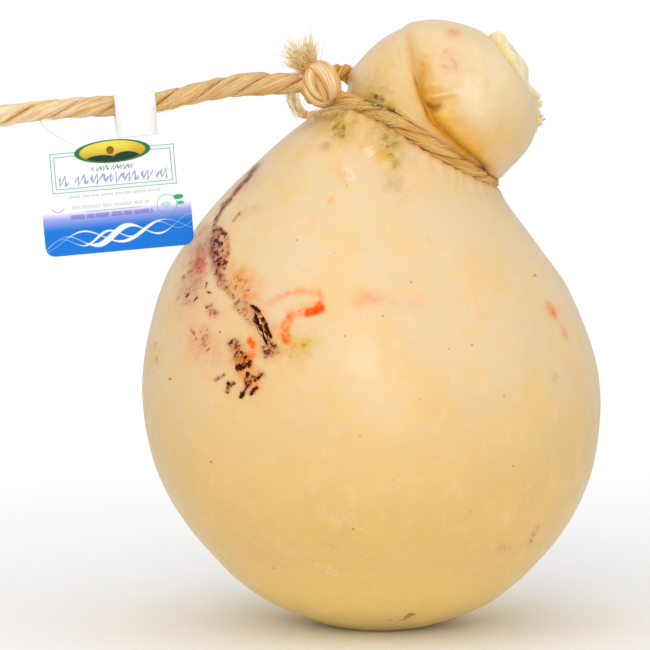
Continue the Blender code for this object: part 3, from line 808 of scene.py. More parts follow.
def mark_strengths(points, normals, marks):
    """The strength of each kind of mark at each point, and how far the point faces the camera."""
    facing = smooth_step((unit(camera_axes()[0] - points) * normals).sum(1) * 6)
    pixels = photo_pixels(points)
    wander = [grain(points + shift, 5.0) + 0.6 * grain(points - shift, 2.2) for shift in (50.0, 90.0)]
    wander = np.stack(wander, axis=1)
    found = {kind: np.zeros(len(points)) for kind in marks}
    rows = [(kind, *row) for kind, lines in marks.items() for row in lines]
    for kind, strength, half_width, fade, *places in rows:
        line = np.reshape(places, (-1, 2))
        reach = half_width + 1.6 * fade + 2
        low, high = np.min(line, axis=0) - reach, np.max(line, axis=0) + reach
        near = np.where(((pixels > low) & (pixels < high)).all(axis=1))[0]
        signed, share = off_polyline(pixels[near] + wander[near] * min(0.5 * fade + 0.1, 6.0), line)
        if kind in SOFT_MARKS:
            ends = 0.4 + 0.6 * smooth_step(np.minimum(share, 1 - share) * 5)
            value = ends * bell(signed, half_width + 0.62 * fade)
        else:
            value = bell(np.maximum(np.abs(signed) - half_width, 0.0), 0.62 * fade)
        found[kind][near] = np.maximum(found[kind][near], strength * value * facing[near])
    return found, facing


def add_age(found, points):
    """Adds the faint marks of the rind's age that show from the other sides."""
    hidden = smooth_step((points[:, 1] - 10.0) / 15.0)
    for kind, strength, size, shift, least, steep in AGE_MARKS:
        value = hidden * strength * smooth_step((grain(points + shift, size) - least) * steep)
        if kind == "mould":
            value = value * smooth_step((points[:, 2] - 40) / 60)
        found[kind] = np.maximum(found[kind], value)


def split_marked_faces(bm, places, cuts):
    """Splits the faces finer where the photo shows small marks."""
    middles = plain_cheese(*rind_grid(np.array([face.calc_center_median() for face in bm.faces]), places))
    marked = [
        face
        for face, middle, pixel in zip(bm.faces, middles, photo_pixels(middles))
        if middle[1] < 10 and any((pixel > low).all() and (pixel < high).all() for low, high in FINE_WINDOWS)
    ]
    edges = list({edge for face in marked for edge in face.edges})
    bmesh.ops.subdivide_edges(bm, edges=edges, cuts=cuts, use_grid_fill=True)


def build_rind(props, material):
    """The whole cheese from a sphere whose rows follow the outline, moved along its normals."""
    bm = bmesh.new()
    bmesh.ops.create_uvsphere(bm, u_segments=props.columns, v_segments=props.rows, radius=1.0)
    places = row_places(props.rows)
    split_marked_faces(bm, places, props.fine_cuts)
    mesh = take_mesh(bm, "cheese_rind")
    rows, angles = rind_grid(read_vectors(mesh, "co"), places)
    points = plain_cheese(rows, angles)
    normals = set_places(mesh, points)

    on_head = smooth_step((rows - WAIST_ROW) / HEAD_RUN_IN) * (points[:, 2] > WAIST_Z)
    fold, golden = fold_relief(points)
    pinch = pinch_relief(points)
    cap, inside_cap, cap_line = cap_relief(rows, angles)
    for x, z, wide, high in CLOSURE_LUMPS:
        away = np.linalg.norm(points[:, [0, 2]] - (x, z), axis=1)
        cap = cap + high * bell(away, wide) * (rows > CLOSURE_ROW)
    relief = props.hand_marks * 1000 * grain(points, 34.0) + 0.10 * grain(points, 9.0)
    relief = relief * smooth_step(points[:, 2] / FOOT_CALM) + (rows > WAIST_ROW) * cap
    relief = relief + on_head * (fold - pinch + 0.12 * grain(points, 4.0))
    torn_x, run_in, torn_z, torn_reach = TORN_HOLLOW
    torn = smooth_step((points[:, 0] - torn_x) / run_in) * bell(points[:, 2] - torn_z, torn_reach)
    points = points + normals * (relief - TORN_SINK * on_head * torn)[:, None]
    points[:, 2] = np.maximum(points[:, 2], 0.0)
    normals = set_places(mesh, points)
    move, bite = noose_groove(points, normals)
    points = points + normals * move[:, None]
    normals = set_places(mesh, points)

    found, facing = mark_strengths(points, normals, MARKS)
    add_age(found, points)
    # Masks for the finish; those of the fold, of the noose's edge and of the closure's groove lay painted
    # shade.
    found |= {
        "front": facing,
        "fold": golden * on_head,
        "bite": bite,
        "head": on_head,
        "cap": inside_cap,
        "cap_line": cap_line * (rows > WAIST_ROW),
    }
    for name, value in found.items():
        add_attribute(mesh, name, value)
    return new_object("cheese_rind", smooth_shaded(mesh), material, ["cheese"])


def build_torn_rim(material):
    """The thin ragged skin that stands up where the closure was torn, on the right of the head."""
    bm = bmesh.new()
    for number, depth in enumerate(TORN_LAYERS):
        made = bmesh.ops.create_grid(bm, x_segments=80, y_segments=5, size=0.5)["verts"]
        grid = np.array([vert.co for vert in made]) + 0.5
        line = smooth_route([(x, depth, z) for x, z in TORN_EDGE], 0.2)
        run = travel(line)
        root = read_along(grid[:, 0], run / run[-1], line)
        ragged = grain(root * (0.0, 0.0, 1.0) + 20.0 * number, 1.9)
        height = 1.5 + 0.7 * ragged
        for place, tip, width in TORN_TIPS:
            moved = place + 1.3 * math.sin(4.0 * number)
            height += tip * (1.0 - 0.2 * number) * bell(root[:, 2] - moved, width)
        height *= smooth_step(np.minimum(grid[:, 0], 1 - grid[:, 0]) * 8) * 0.9 + 0.1
        out = grid[:, 1] * height
        lean = 0.5 * ragged * out - 0.12 * out**2
        bend = np.stack([out - 0.3, lean, 0.25 * out * np.sin(root[:, 2])], axis=1)
        for vert, place in zip(made, (root + bend) * MM):
            vert.co = place
    bmesh.ops.recalc_face_normals(bm, faces=bm.faces)
    bmesh.ops.solidify(bm, geom=bm.faces[:], thickness=0.2 * MM)
    bmesh.ops.recalc_face_normals(bm, faces=bm.faces)
    return new_object("torn_rim", smooth_shaded(take_mesh(bm, "torn_rim")), material)


def torn_finish():
    """Torn skin: pale and yellowish, a little pink and grey at its edge."""
    look = Finish("torn_skin")
    mm = look.places()
    colour = look.mix(look.ranged(look.noise(mm, 0.5, 3.0), 0.4, 0.65), rgb("#f6e6b4"), rgb("#fff8e0"))
    colour = look.over(colour, (look.ranged(look.part(mm, "X"), 53.6, 56.6, 0.0, 0.8), "#e2cbae"))
    return look.set(Base_Color=colour, Roughness=0.45, Specular_IOR_Level=0.3)


def single_specks(look, mm):
    """Single dark specks: those of the front at their places, and others scattered elsewhere."""
    eye, ahead, up = camera_axes()
    ray = look.vector_math("SUBTRACT", mm, tuple(eye), output=0)

    def pixel(axis, sign):
        across = look.times(look.vector_math("DOT_PRODUCT", ray, axis), sign * FOCAL_PIXELS)
        depth = look.vector_math("DOT_PRODUCT", ray, tuple(ahead))
        return look.plus(look.math("DIVIDE", across, depth), PHOTO_MIDDLE)

    spot = look.add("CombineXYZ", {"X": pixel((1.0, 0.0, 0.0), 1), "Y": pixel(tuple(up), -1)}).outputs[0]
    nearest = 9.0
    for x, y, radius in SPECKS:
        away = look.less(look.vector_math("DISTANCE", spot, (x, y, 0.0)), radius)
        nearest = look.math("MINIMUM", away, nearest)
    front = look.attribute("front")
    shown = look.times(look.ranged(nearest, 0.2, -1.0, 0.0, 0.85), front)
    cells = look.add("TexVoronoi", {"Vector": mm, "Scale": 0.075}).outputs["Distance"]
    scattered = look.times(look.ranged(cells, 0.05, 0.03), look.less(1.0, front), 0.8)
    return look.math("MAXIMUM", shown, scattered)


def rind_finish(props):
    """Waxy rind: paler above, yellower below, with stains and mould, golden painted shade in the fold, the
    closure's groove and beside the noose, a painted highlight on the head's ball and lighter colour painted
    at the foot.
    """
    look = Finish("waxy_rind")
    mark, noise_of, ranged = look.attribute, look.noise, look.ranged
    mm = look.places()
    height = look.part(mm, "Z")
    dots = noise_of(mm, 0.6, 6.0, 0.74)
    broken = look.plus(look.times(look.streaks(52.0, 2.6, 0.7), 0.45), dots)
    patterns = {
        "dots": dots,
        "specks": noise_of(mm, 0.75, 4.0, 0.65),
        "blotch": noise_of(mm, 0.28, 4.0, 0.6),
        "rising": ranged(broken, 0.56, 0.90, 0.3, 0.7, smooth=False),
        "falling": look.streaks(-64.0, 3.4, 0.62),
    }
    colour = look.mix(ranged(height, 40.0, 110.0), (*props.lower_rind, 1.0), (*props.upper_rind, 1.0))
    colour = look.over(
        colour,
        # Painted light: lighter yellow low on the foot, against the shade where it meets the floor.
        (ranged(height, 34.0, 3.0), "#f2d57c"),
        (ranged(noise_of(mm, 0.055, 3.0, 0.6), 0.40, 0.66, 0.0, 0.5), "#eec57c"),
        (ranged(noise_of(mm, 1.1, 3.0, 0.6), 0.5, 0.8, 0.0, 0.22), "#e3b56c"),
        (ranged(noise_of(mm, 0.16, 2.0), 0.52, 0.75, 0.0, 0.13), "#f7e2bb"),
        (look.times(mark("head"), 0.15), "#e8cf8a"),
        (look.times(mark("cap"), 0.8), "#faeabc"),
        # Yellow painted shade in the closure's groove.
        (look.times(mark("cap_line"), 0.85), "#e8c63c"),
        # Golden painted shade in the fold's valley.
        (look.times(mark("fold"), 0.76), "#e8b010"),
        # Golden painted shade beside the noose.
        (look.times(mark("bite"), 0.55), "#dca034"),
    )
    uneven = look.plus(patterns["blotch"], look.times(patterns["specks"], 0.5))
    uneven = ranged(uneven, 0.5, 1.0, 0.55, 1.25)
    for kind, tint, most in TONES:
        share = look.times(mark(kind), most, uneven)
        colour = look.over(colour, (look.math("MINIMUM", share, 1.0), tint))
    for kind, tint, pattern, soft, most, held in STAINS:
        spread = ranged(patterns[pattern], 0.3, 0.7, -held, 1.0 - held, smooth=False)
        shown = ranged(look.plus(spread, mark(kind)), 1.0, 1.0 + soft)
        share = look.times(shown, ranged(mark(kind), 0.05, 0.2, 0.0, most))
        colour = look.over(colour, (share, tint))
    colour = look.over(colour, (single_specks(look, mm), "#846628"))

    marked = look.math("MAXIMUM", *[mark(kind) for kind in ("ink", "strip", "blaze", "mould", "plum")])
    dents = look.bump(noise_of(mm, 0.22, 3.0, 0.55), 0.35, 0.0006)
    return look.set(
        Base_Color=colour,
        Roughness=ranged(noise_of(mm, 0.12, 3.0, 0.6), 0.35, 0.7, 0.32, 0.46),
        IOR=1.4,
        Subsurface_Weight=0.35,
        Subsurface_Radius=(1.0, 0.55, 0.18),
        Subsurface_Scale=0.0045,
        Specular_IOR_Level=0.3,
        Specular_Tint=(1.0, 0.7, 0.42, 1.0),
        Coat_Weight=look.plus(ranged(marked, 0.2, 0.7, 0.4, 0.0), look.times(mark("head"), 0.35)),
        Coat_Roughness=0.22,
        Normal=look.bump(noise_of(mm, 1.6, 3.0, 0.6), 0.22, 0.00018, dents),
    )


def carried_frames(line):
    """Unit vectors along, beside and above a line, carried along it without twist."""
    along = unit(np.gradient(line, axis=0))
    side = np.empty_like(line)
    side[0] = unit(np.cross(along[0], (0.0, 0.0, 1.0)))
    for i in range(1, len(line)):
        side[i] = unit(side[i - 1] - (side[i - 1] @ along[i]) * along[i])
    return along, side, np.cross(along, side)


def add_tube(bm, points, crown):
    """Adds a closed tube whose rings of points are given, with its lay as a UV map in mm."""
    rings, sides = points.shape[:2]
    uv = bm.loops.layers.uv.get("lay") or bm.loops.layers.uv.new("lay")
    layer = bm.verts.layers.float.get("crown") or bm.verts.layers.float.new("crown")
    girth = np.linalg.norm(np.diff(points[rings // 2], axis=0), axis=1).sum()
    length = travel(points.mean(axis=1))
    made = bmesh.ops.create_grid(bm, x_segments=sides, y_segments=rings - 1, size=0.5)["verts"]
    cells = {}
    for vert in made:
        cells[vert] = (round((vert.co.y + 0.5) * (rings - 1)), round((vert.co.x + 0.5) * sides))
    for face in {face for vert in made for face in vert.link_faces}:
        face.smooth = True
        for loop in face.loops:
            ring, column = cells[loop.vert]
            loop[uv].uv = (column / sides * girth - FIBRE_LEAN * length[ring], length[ring])
    for vert, (ring, column) in cells.items():
        vert.co = points[ring, column % sides] * MM
        vert[layer] = crown[ring, column % sides]
    bmesh.ops.remove_doubles(bm, verts=made, dist=1e-7)
    ends = {edge for vert in made if vert.is_valid for edge in vert.link_edges if edge.is_boundary}
    bmesh.ops.holes_fill(bm, edges=list(ends), sides=0)


def add_rope(bm, line, radius, lay, phase, seed):
    """Adds both plies of a cord laid along a line, each a flattened tube with ridges of fibre."""
    _, side, up = carried_frames(line)
    run = travel(line)
    radius = np.broadcast_to(radius, run.shape)[:, None]
    theta = np.linspace(-math.pi, math.pi, PLY_SIDES, endpoint=False)
    for ply in (0, 1):
        turn = (phase + math.pi * ply - 2 * math.pi * run / lay)[:, None]
        out = np.cos(turn) * side + np.sin(turn) * up
        across = -np.sin(turn) * side + np.cos(turn) * up
        fibre = theta - run[:, None] * FIBRE_LEAN / (PLY_WIDE * radius)
        way = np.broadcast_to(run[:, None] / 17.0, fibre.shape) + seed
        samples = np.stack([1.3 * np.cos(fibre) + seed, 1.3 * np.sin(fibre) + 5.0 * ply, way], axis=-1)
        samples = samples.reshape(-1, 3)
        broad = grain(samples, 1.0).reshape(fibre.shape)
        thin = grain(samples * (2.6, 2.6, 1.3) + 3.0, 1.0).reshape(fibre.shape)
        swell = (1 + RIDGE * (1.6 * broad + 1.5 * thin)) * radius
        deep = (PLY_DEEP * np.cos(theta) * swell)[..., None] * out[:, None]
        wide = (PLY_WIDE * np.sin(theta) * swell)[..., None] * across[:, None]
        points = (line + out * PLY_OFFSET * radius)[:, None] + deep + wide
        reach = np.linalg.norm(points - line[:, None], axis=2) / radius
        # How far out on its ply each point is; the finish paints shade in the grooves where this is low.
        crown = smooth_step((reach - 0.66) / 0.3) * (0.8 + 0.4 * thin)
        add_tube(bm, points, np.clip(crown, 0, 1))


def rope_object(name, lines, material, replaced):
    """A piece of laid cord along one line or more; each is a line, a radius, a lay and a phase."""
    bm = bmesh.new()
    for i, (line, radius, lay, phase) in enumerate(lines):
        add_rope(bm, line, radius, lay, phase, 11.0 * i + len(name))
    bmesh.ops.recalc_face_normals(bm, faces=bm.faces)
    mesh = take_mesh(bm, name)
    points, normals = read_vectors(mesh, "co") * 1000, read_vectors(mesh, "normal")
    add_attribute(mesh, "mould", mark_strengths(points, normals, CORD_MARKS)[0]["mould"])
    return new_object(name, mesh, material, replaced)


def fibre_object(name, fibres, radius, material):
    """Thin round fibres along these lines in mm, thinner to their tips, as one piece."""
    curve = bpy.data.curves.new(name, "CURVE")
    curve.dimensions = "3D"
    curve.bevel_depth = radius * MM
    curve.bevel_resolution = 0
    curve.use_fill_caps = True
    for fibre in fibres:
        spline = curve.splines.new("POLY")
        spline.points.add(len(fibre) - 1)
        for i, (target, point) in enumerate(zip(spline.points, fibre)):
            target.co = (*(point * MM), 1.0)
            target.radius = 1.0 - 0.6 * i / len(fibre)
    holder = bpy.data.objects.new(name, curve)
    mesh = bpy.data.meshes.new_from_object(holder)
    bpy.data.objects.remove(holder)
    bpy.data.curves.remove(curve)
    mesh.name = name
    return new_object(name, smooth_shaded(mesh), material)


def stray_fibres(line, radius, count, length, rise, seed):
    """Fibres that lie on a cord and lift off it at their ends."""
    rng = np.random.default_rng(seed)
    _, side, up = carried_frames(line)
    run = travel(line)
    steps = np.linspace(0, 1, 9)
    fibres = []
    for _ in range(count):
        long = length * rng.uniform(0.5, 1.4)
        start = rng.uniform(2.0, max(run[-1] - long - 2.0, 2.1))
        angle = rng.uniform(0, 2 * math.pi)
        lift = rise * rng.uniform(0.1, 1.0) ** 2
        droop = rng.uniform(-1.0, 1.0)
        angles = (angle - 0.18 * steps * long + droop * steps**2)[:, None]
        height = (radius * 0.98 + lift * steps**2)[:, None]
        middle, beside, above = (read_along(start + steps * long, run, axis) for axis in (line, side, up))
        fibres.append(middle + height * (np.cos(angles) * beside + np.sin(angles) * above))
    return fibres


def brush_fibres(base, tufts, count, rng, curl=1.0, longer=1.0):
    """The tufts of a frayed end: fibres from a narrow base that spread, bend and curl to their tips."""
    fibres = []
    steps = np.linspace(0, 1, 9)[:, None]
    for lean_deg, swing_deg, reach in (tuft for tuft in tufts for _ in range(count)):
        lean = math.radians(lean_deg + rng.normal(0, 5.5))
        swing = math.radians(swing_deg + rng.normal(0, 16.0))
        level = math.cos(swing)
        way = np.array([-math.sin(lean) * level, math.sin(swing), math.cos(lean) * level])
        length = reach * longer * rng.uniform(0.72, 1.08)
        root = np.array(base) + rng.normal(0.0, 0.75, 3)
        bend = rng.normal(0.0, 0.9, 3) * curl
        wave = rng.normal(0.0, 0.35, 3) * curl
        path = root + way * length * steps + bend * steps**2
        fibres.append(path + wave * np.sin(steps * rng.uniform(5, 11)) * steps)
    return fibres


def wisp_fibres():
    """The loose bundle of fibres that loops below the knot."""
    rng = np.random.default_rng(8)
    fibres = []
    for _ in range(WISPS):
        shift = rng.normal(0, 0.75, 3)
        bend = rng.normal(0, 0.5, (len(WISP_ROUTE), 3))
        fibres.append(smooth_route(np.array(WISP_ROUTE) + shift + bend, 1.6))
    return fibres


def ring_line(centre, axis, radius, turns, drift, start):
    """Points round a turn of cord about an axis, which drifts along it from end to end."""
    axis = unit(np.array(axis, float))
    side = unit(np.cross(axis, (0.0, 0.0, 1.0)))
    up = np.cross(axis, side)
    share = np.linspace(-1, 1, round(100 * turns))[:, None]
    angles = start + (share + 1) * math.pi * turns
    radii = radius * (1 - 0.25 * smooth_step(np.abs(share) * 4 - 3))
    return centre + radii * (np.cos(angles) * side + np.sin(angles) * up) + share * drift / 2 * axis


def sisal_finish(props, name, cast):
    """Straw-coloured fibres that follow the lay, with painted highlight and shade that follow their bump,
    painted shade in the grooves, and a cast that fades out towards the cord's far end.
    """
    look = Finish(name)
    ranged = look.ranged
    lay = look.uv_map("lay")
    mm = look.places()

    def stretched(across, along, shift, detail):
        """Noise in streaks along the fibres, by how many there are in a mm each way."""
        inputs = {"Vector": lay, "Scale": (across, along, 1.0), "Location": (shift, 0.0, 0.0)}
        return look.noise(look.add("Mapping", inputs).outputs[0], 1.0, detail, 0.6)

    fine = stretched(3.6, 0.14, 0.0, 3.0)
    strand = stretched(1.5, 0.06, 40.0, 2.0)
    # Paler where the strands rise and darker where they sink, as the bump does: painted highlight and shade.
    colour = look.mix(ranged(strand, 0.36, 0.62), (*props.dark_sisal, 1.0), (*props.pale_sisal, 1.0))
    colour = look.over(
        colour,
        (ranged(stretched(0.7, 0.03, 90.0, 2.0), 0.52, 0.66, 0.0, 0.65), "#dfa345"),
        (ranged(look.noise(mm, 0.09, 3.0), 0.54, 0.70, 0.0, 0.25), "#dfa678"),
        # Pale on the fine ridges and dark between them, as the bump does: painted highlight and shade.
        (ranged(fine, 0.48, 0.70, 0.0, 0.6), "#fff0cc"),
        (ranged(fine, 0.48, 0.30, 0.0, 0.42), "#bd8430"),
    )
    colour = look.mix(ranged(look.part(mm, "X"), -114.0, -84.0), colour, rgb(cast), "MULTIPLY")
    spread = look.plus(look.noise(mm, 0.7, 4.0, 0.65), look.times(fine, -0.6))
    mouldy = look.plus(ranged(spread, -0.02, 0.42, smooth=False), look.attribute("mould"))
    colour = look.over(
        colour,
        # Painted shade in the grooves between the plies.
        (ranged(look.attribute("crown"), 0.0, 0.5, 0.7, 0.0), "#c07c14"),
        (ranged(mouldy, 0.85, 1.4, 0.0, 0.6), "#8f8558"),
        (ranged(mouldy, 1.25, 1.55, 0.0, 0.8), "#4a4424"),
    )
    return look.set(
        Base_Color=colour,
        Roughness=0.6,
        Specular_IOR_Level=0.3,
        Subsurface_Weight=0.12,
        Subsurface_Radius=(1.0, 0.7, 0.4),
        Subsurface_Scale=0.001,
        Normal=look.bump(look.plus(fine, look.times(strand, 1.5)), 0.8, 0.00022),
    )


def fibre_finish(name, dark, pale, rooted=0.0):
    """Loose fibres, some paler and some more golden, and darker at the root of the knot's brush."""
    look = Finish(name)
    mm = look.places()
    colour = look.mix(look.ranged(look.noise(mm, 0.6, 2.0), 0.35, 0.62), rgb(dark), rgb(pale))
    away = look.vector_math("DISTANCE", mm, BRUSH_BASE)
    colour = look.over(colour, (look.ranged(away, 9.0, 2.0, 0.0, rooted), "#eaa428"))
    return look.set(Base_Color=colour, Roughness=0.6, Specular_IOR_Level=0.3)


def strap_frame():
    """The tag's own place: where its strap hangs on the cord, turned to follow it."""
    swing = Matrix.Rotation(math.radians(STRAP_SWING_DEG), 4, "Z")
    tilt = Matrix.Rotation(math.radians(-STRAP_TILT_DEG), 4, "Y")
    return Matrix.Translation(Vector(STRAP_PLACE) * MM) @ swing @ tilt


def build_card(props, front, plain):
    """The card, with rounded corners and a soft edge, and its print as a UV map in mm."""
    bm = bmesh.new()
    bmesh.ops.create_grid(bm, x_segments=1, y_segments=1, size=0.5)
    bmesh.ops.scale(bm, vec=(props.width * 1000, props.height * 1000, 1.0), verts=bm.verts)
    bmesh.ops.bevel(
        bm, geom=bm.verts[:], offset=CARD_CORNER, segments=8, affect="VERTICES", profile=0.5, material=-1
    )
    bmesh.ops.translate(bm, vec=(0, 0, -CARD_THICKNESS / 2), verts=bm.verts)
    lifted = bmesh.ops.extrude_face_region(bm, geom=bm.faces[:])
    top = [item for item in lifted["geom"] if isinstance(item, bmesh.types.BMVert)]
    bmesh.ops.translate(bm, vec=(0, 0, CARD_THICKNESS), verts=top)
    bmesh.ops.recalc_face_normals(bm, faces=bm.faces)
    rims = [edge for edge in bm.edges if edge.calc_face_angle(0.0) > 1.2]
    bmesh.ops.bevel(
        bm, geom=rims, offset=CARD_SOFTENING, segments=2, affect="EDGES", profile=0.5, material=-1
    )
    bm.normal_update()
    uv = bm.loops.layers.uv.new("print")
    for face in bm.faces:
        face.material_index = 0 if face.normal.z > 0.9 else 1
        face.smooth = abs(face.normal.z) < 0.9
        for loop in face.loops:
            loop[uv].uv = loop.vert.co.xy
    bmesh.ops.scale(bm, vec=(MM, MM, MM), verts=bm.verts)
    place = strap_frame() @ Matrix.Translation((-CARD_LEFT * MM, 0.0, -CARD_DROP * MM))
    bmesh.ops.transform(bm, matrix=place @ Matrix.Rotation(math.radians(90), 4, "X"), verts=bm.verts)
    return new_object("tag_card", take_mesh(bm, "tag_card"), [front, plain], ["tag"])


def build_strap(plain):
    """A strip of paper that goes up over the cord and is glued to itself and to the card's top."""
    inner = CORD_DIAMETER / 2 + STRAP_ROOM
    card_top = CARD_HEIGHT / 2 - CARD_DROP
    rise = np.linspace(math.radians(-25), math.radians(205), 33)
    arc = np.stack([np.cos(rise), np.sin(rise)], axis=1) * (inner + STRAP_THICKNESS / 2)
    legs = smooth_step(np.linspace(0, 1, 9)[:, None])
    back = CARD_THICKNESS / 2 + STRAP_THICKNESS / 2 + 0.02
    back_tip = np.array([back, card_top - STRAP_OVERLAP])
    front_tip = np.array([-back, card_top - STRAP_FRONT_OVERLAP])
    back_leg = back_tip + (arc[0] - back_tip) * legs
    front_leg = arc[-1] + (front_tip - arc[-1]) * legs
    profile = np.vstack([back_leg[:-1], arc, front_leg[1:]])
    bm = bmesh.new()
    bmesh.ops.create_grid(bm, x_segments=4, y_segments=len(profile) - 1, size=0.5)
    for vert in bm.verts:
        depth, height = profile[round((vert.co.y + 0.5) * (len(profile) - 1))]
        vert.co = (vert.co.x * STRAP_WIDTH * MM, depth * MM, height * MM)
    for face in bm.faces:
        face.smooth = True
    bmesh.ops.recalc_face_normals(bm, faces=bm.faces)
    bmesh.ops.solidify(bm, geom=bm.faces[:], thickness=0.3 * MM)
    bmesh.ops.transform(bm, matrix=strap_frame(), verts=bm.verts)
    bmesh.ops.recalc_face_normals(bm, faces=bm.faces)
    return new_object("tag_strap", take_mesh(bm, "tag_strap"), plain)


def paper_finish(props):
    look = Finish("plain_card")
    fine = look.noise(look.places(), 6.0, 3.0)
    colour = look.over((*props.paper, 1.0), (look.ranged(fine, 0.3, 0.7, 0.0, 0.3), "#fbfaf8"))
    relief = look.bump(fine, 0.1, 0.00005)
    return look.set(Base_Color=colour, Roughness=0.45, Specular_IOR_Level=0.3, Normal=relief)


def print_finish(props):
    """The card's printed front: plain fields, rules and hatched lines where a label has words."""
    look = Finish("printed_card")
    ranged, times, plus, less, size = look.ranged, look.times, look.plus, look.less, look.size
    uv = look.uv_map("print")
    x, y = look.part(uv, "X"), look.part(uv, "Y")

    def inside(distance, blur=0.12):
        """1 where a distance in mm is negative, with a soft edge."""
        return ranged(distance, blur, -blur)

    def box(cx, cy, half_x, half_y):
        """The distance from the edge of an upright box, negative inside."""
        return look.math("MAXIMUM", less(size(less(x, cx)), half_x), less(size(less(y, cy)), half_y))

    def oval(cx, cy, half_x, half_y):
        dx = look.math("DIVIDE", less(x, cx), half_x)
        dy = look.math("DIVIDE", less(y, cy), half_y)
        length = look.math("SQRT", plus(times(dx, dx), times(dy, dy)))
        return times(less(length, 1.0), min(half_x, half_y))

    def rim(distance, half_width):
        return less(size(distance), half_width)

    def gaps(pitch, seed):
        """0 in the gaps between stretches of uneven length, 1 elsewhere."""
        wobble = look.math("SINE", plus(times(x, 0.61), 2.0 * seed))
        place = plus(look.math("DIVIDE", x, pitch), times(wobble, 0.17), seed)
        return ranged(size(less(look.math("FRACT", place), 0.5)), 0.46, 0.43)

    def scribble(cx, cy, half_x, half_y, pitch, seed):
        """A line of looping pen strokes that read as no letters."""
        turn = times(plus(x, times(y, -0.35)), 2 * math.pi / pitch)
        slow = look.math("SINE", plus(times(turn, 0.37), seed))
        wave = look.math("SINE", plus(turn, times(slow, 0.9)))
        swing = times(wave, plus(times(slow, 0.28 * half_y), 0.66 * half_y))
        steep = size(look.math("COSINE", turn))
        thick = ranged(steep, 0.0, 1.0, 0.12 * half_y, 0.62 * half_y, smooth=False)
        line = inside(less(size(less(less(y, cy), swing)), thick))
        return times(line, gaps(7.3, seed), inside(box(cx, cy, half_x, half_y * 1.2)))

    def bars(cx, cy, half_x, half_y, pitch, seed):
        """A line of short bars with gaps like those between words."""
        worn = ranged(look.noise(uv, 2.4, 2.0), 0.3, 0.55, 0.25, 1.0)
        return times(inside(box(cx, cy, half_x, half_y), 0.1), gaps(pitch, seed), worn)

    def ribbon(rise, pitch, phase, climb, broad):
        """A swinging ribbon across the blue field, thin at its ends and where it turns."""
        turn = plus(times(x, 2 * math.pi / pitch), phase)
        middle = plus(times(look.math("SINE", turn), rise), times(x, climb))
        half = ranged(look.math("COSINE", turn), -1.0, 1.0, 0.15, broad, smooth=False)
        half = times(ranged(size(x), 19.5, 6.0), half)
        return inside(less(size(less(less(y, -13.3), middle)), half), 0.15)

    blue = look.mix(ranged(y, -6.0, -11.0), rgb("#a3a9ec"), (*props.field, 1.0))
    colour = look.mix(ranged(y, -3.6, -7.4), (*props.paper, 1.0), blue)
    frame_box = box(-0.1, 8.3, 19.9, 5.9)
    colour = look.over(
        colour,
        (inside(frame_box), "#fafafd"),
        (inside(rim(frame_box, 0.62)), "#edf7f3"),
        (times(inside(rim(rim(frame_box, 0.62), 0.13), 0.07), 0.9), "#4f9f8a"),
        (times(scribble(-0.3, 8.85, 7.1, 0.85, 1.15, 1.0), 0.9), "#2f8f5c"),
        (times(scribble(-0.4, 5.5, 18.0, 1.55, 2.1, 3.0), 0.85), "#8391d0"),
        (times(bars(-0.4, 0.15, 15.2, 0.42, 3.6, 2.3), 0.55), "#8fb0a6"),
        (times(bars(-2.0, -3.4, 13.0, 0.62, 5.2, 4.1), 0.45), "#96a0c0"),
        (times(inside(box(-1.0, -4.95, 9.2, 0.09), 0.07), 0.8), "#6f74b4"),
        (times(bars(-1.8, -6.5, 13.6, 0.72, 4.3, 5.6), 0.7), "#6468bf"),
        (inside(oval(0.1, 14.2, 12.7, 3.85)), "#1d7a44"),
    )
    centre = inside(oval(0.1, 14.2, 10.9, 3.45))
    glow = look.mix(ranged(y, 11.0, 16.5), rgb("#b98f2c"), rgb("#f0dc4e"))
    glow = look.over(glow, (ranged(x, 3.0, 10.0, 0.0, 0.5), "#c9962e"))
    hills = look.math("MINIMUM", oval(-4.0, 10.6, 6.2, 2.6), oval(4.6, 10.4, 5.4, 3.4))
    curl = times(inside(rim(oval(-19.4, -2.4, 2.2, 2.0), 0.12), 0.1), inside(less(y, -3.2)))
    ribbons = ((2.3, 21.0, 0.6, 0.10, 1.25), (1.7, 16.0, 2.9, 0.10, 0.5), (2.6, 27.0, 4.4, 0.06, 0.7))
    colour = look.over(
        look.mix(centre, colour, glow),
        (times(inside(hills), centre), "#143d2a"),
        (times(inside(oval(-0.6, 14.6, 1.3, 1.3)), centre), "#8a5a1c"),
        (times(inside(rim(oval(16.7, -4.9, 3.3, 3.3), 0.14), 0.08), 0.85), "#4fb88e"),
        (times(inside(oval(16.3, -4.9, 1.7, 1.1)), 0.35), "#58b894"),
        (inside(oval(20.6, -2.7, 1.7, 0.85)), "#2fae74"),
        (inside(oval(21.2, -4.7, 1.2, 0.6)), "#49b98a"),
        (curl, "#8f9aa6"),
        (look.math("MAXIMUM", *[ribbon(*plan) for plan in ribbons]), "#f6f9ff"),
    )
    relief = look.bump(look.noise(look.places(), 5.0, 3.0), 0.08, 0.00005)
    return look.set(Base_Color=colour, Roughness=0.4, Specular_IOR_Level=0.15, Normal=relief)


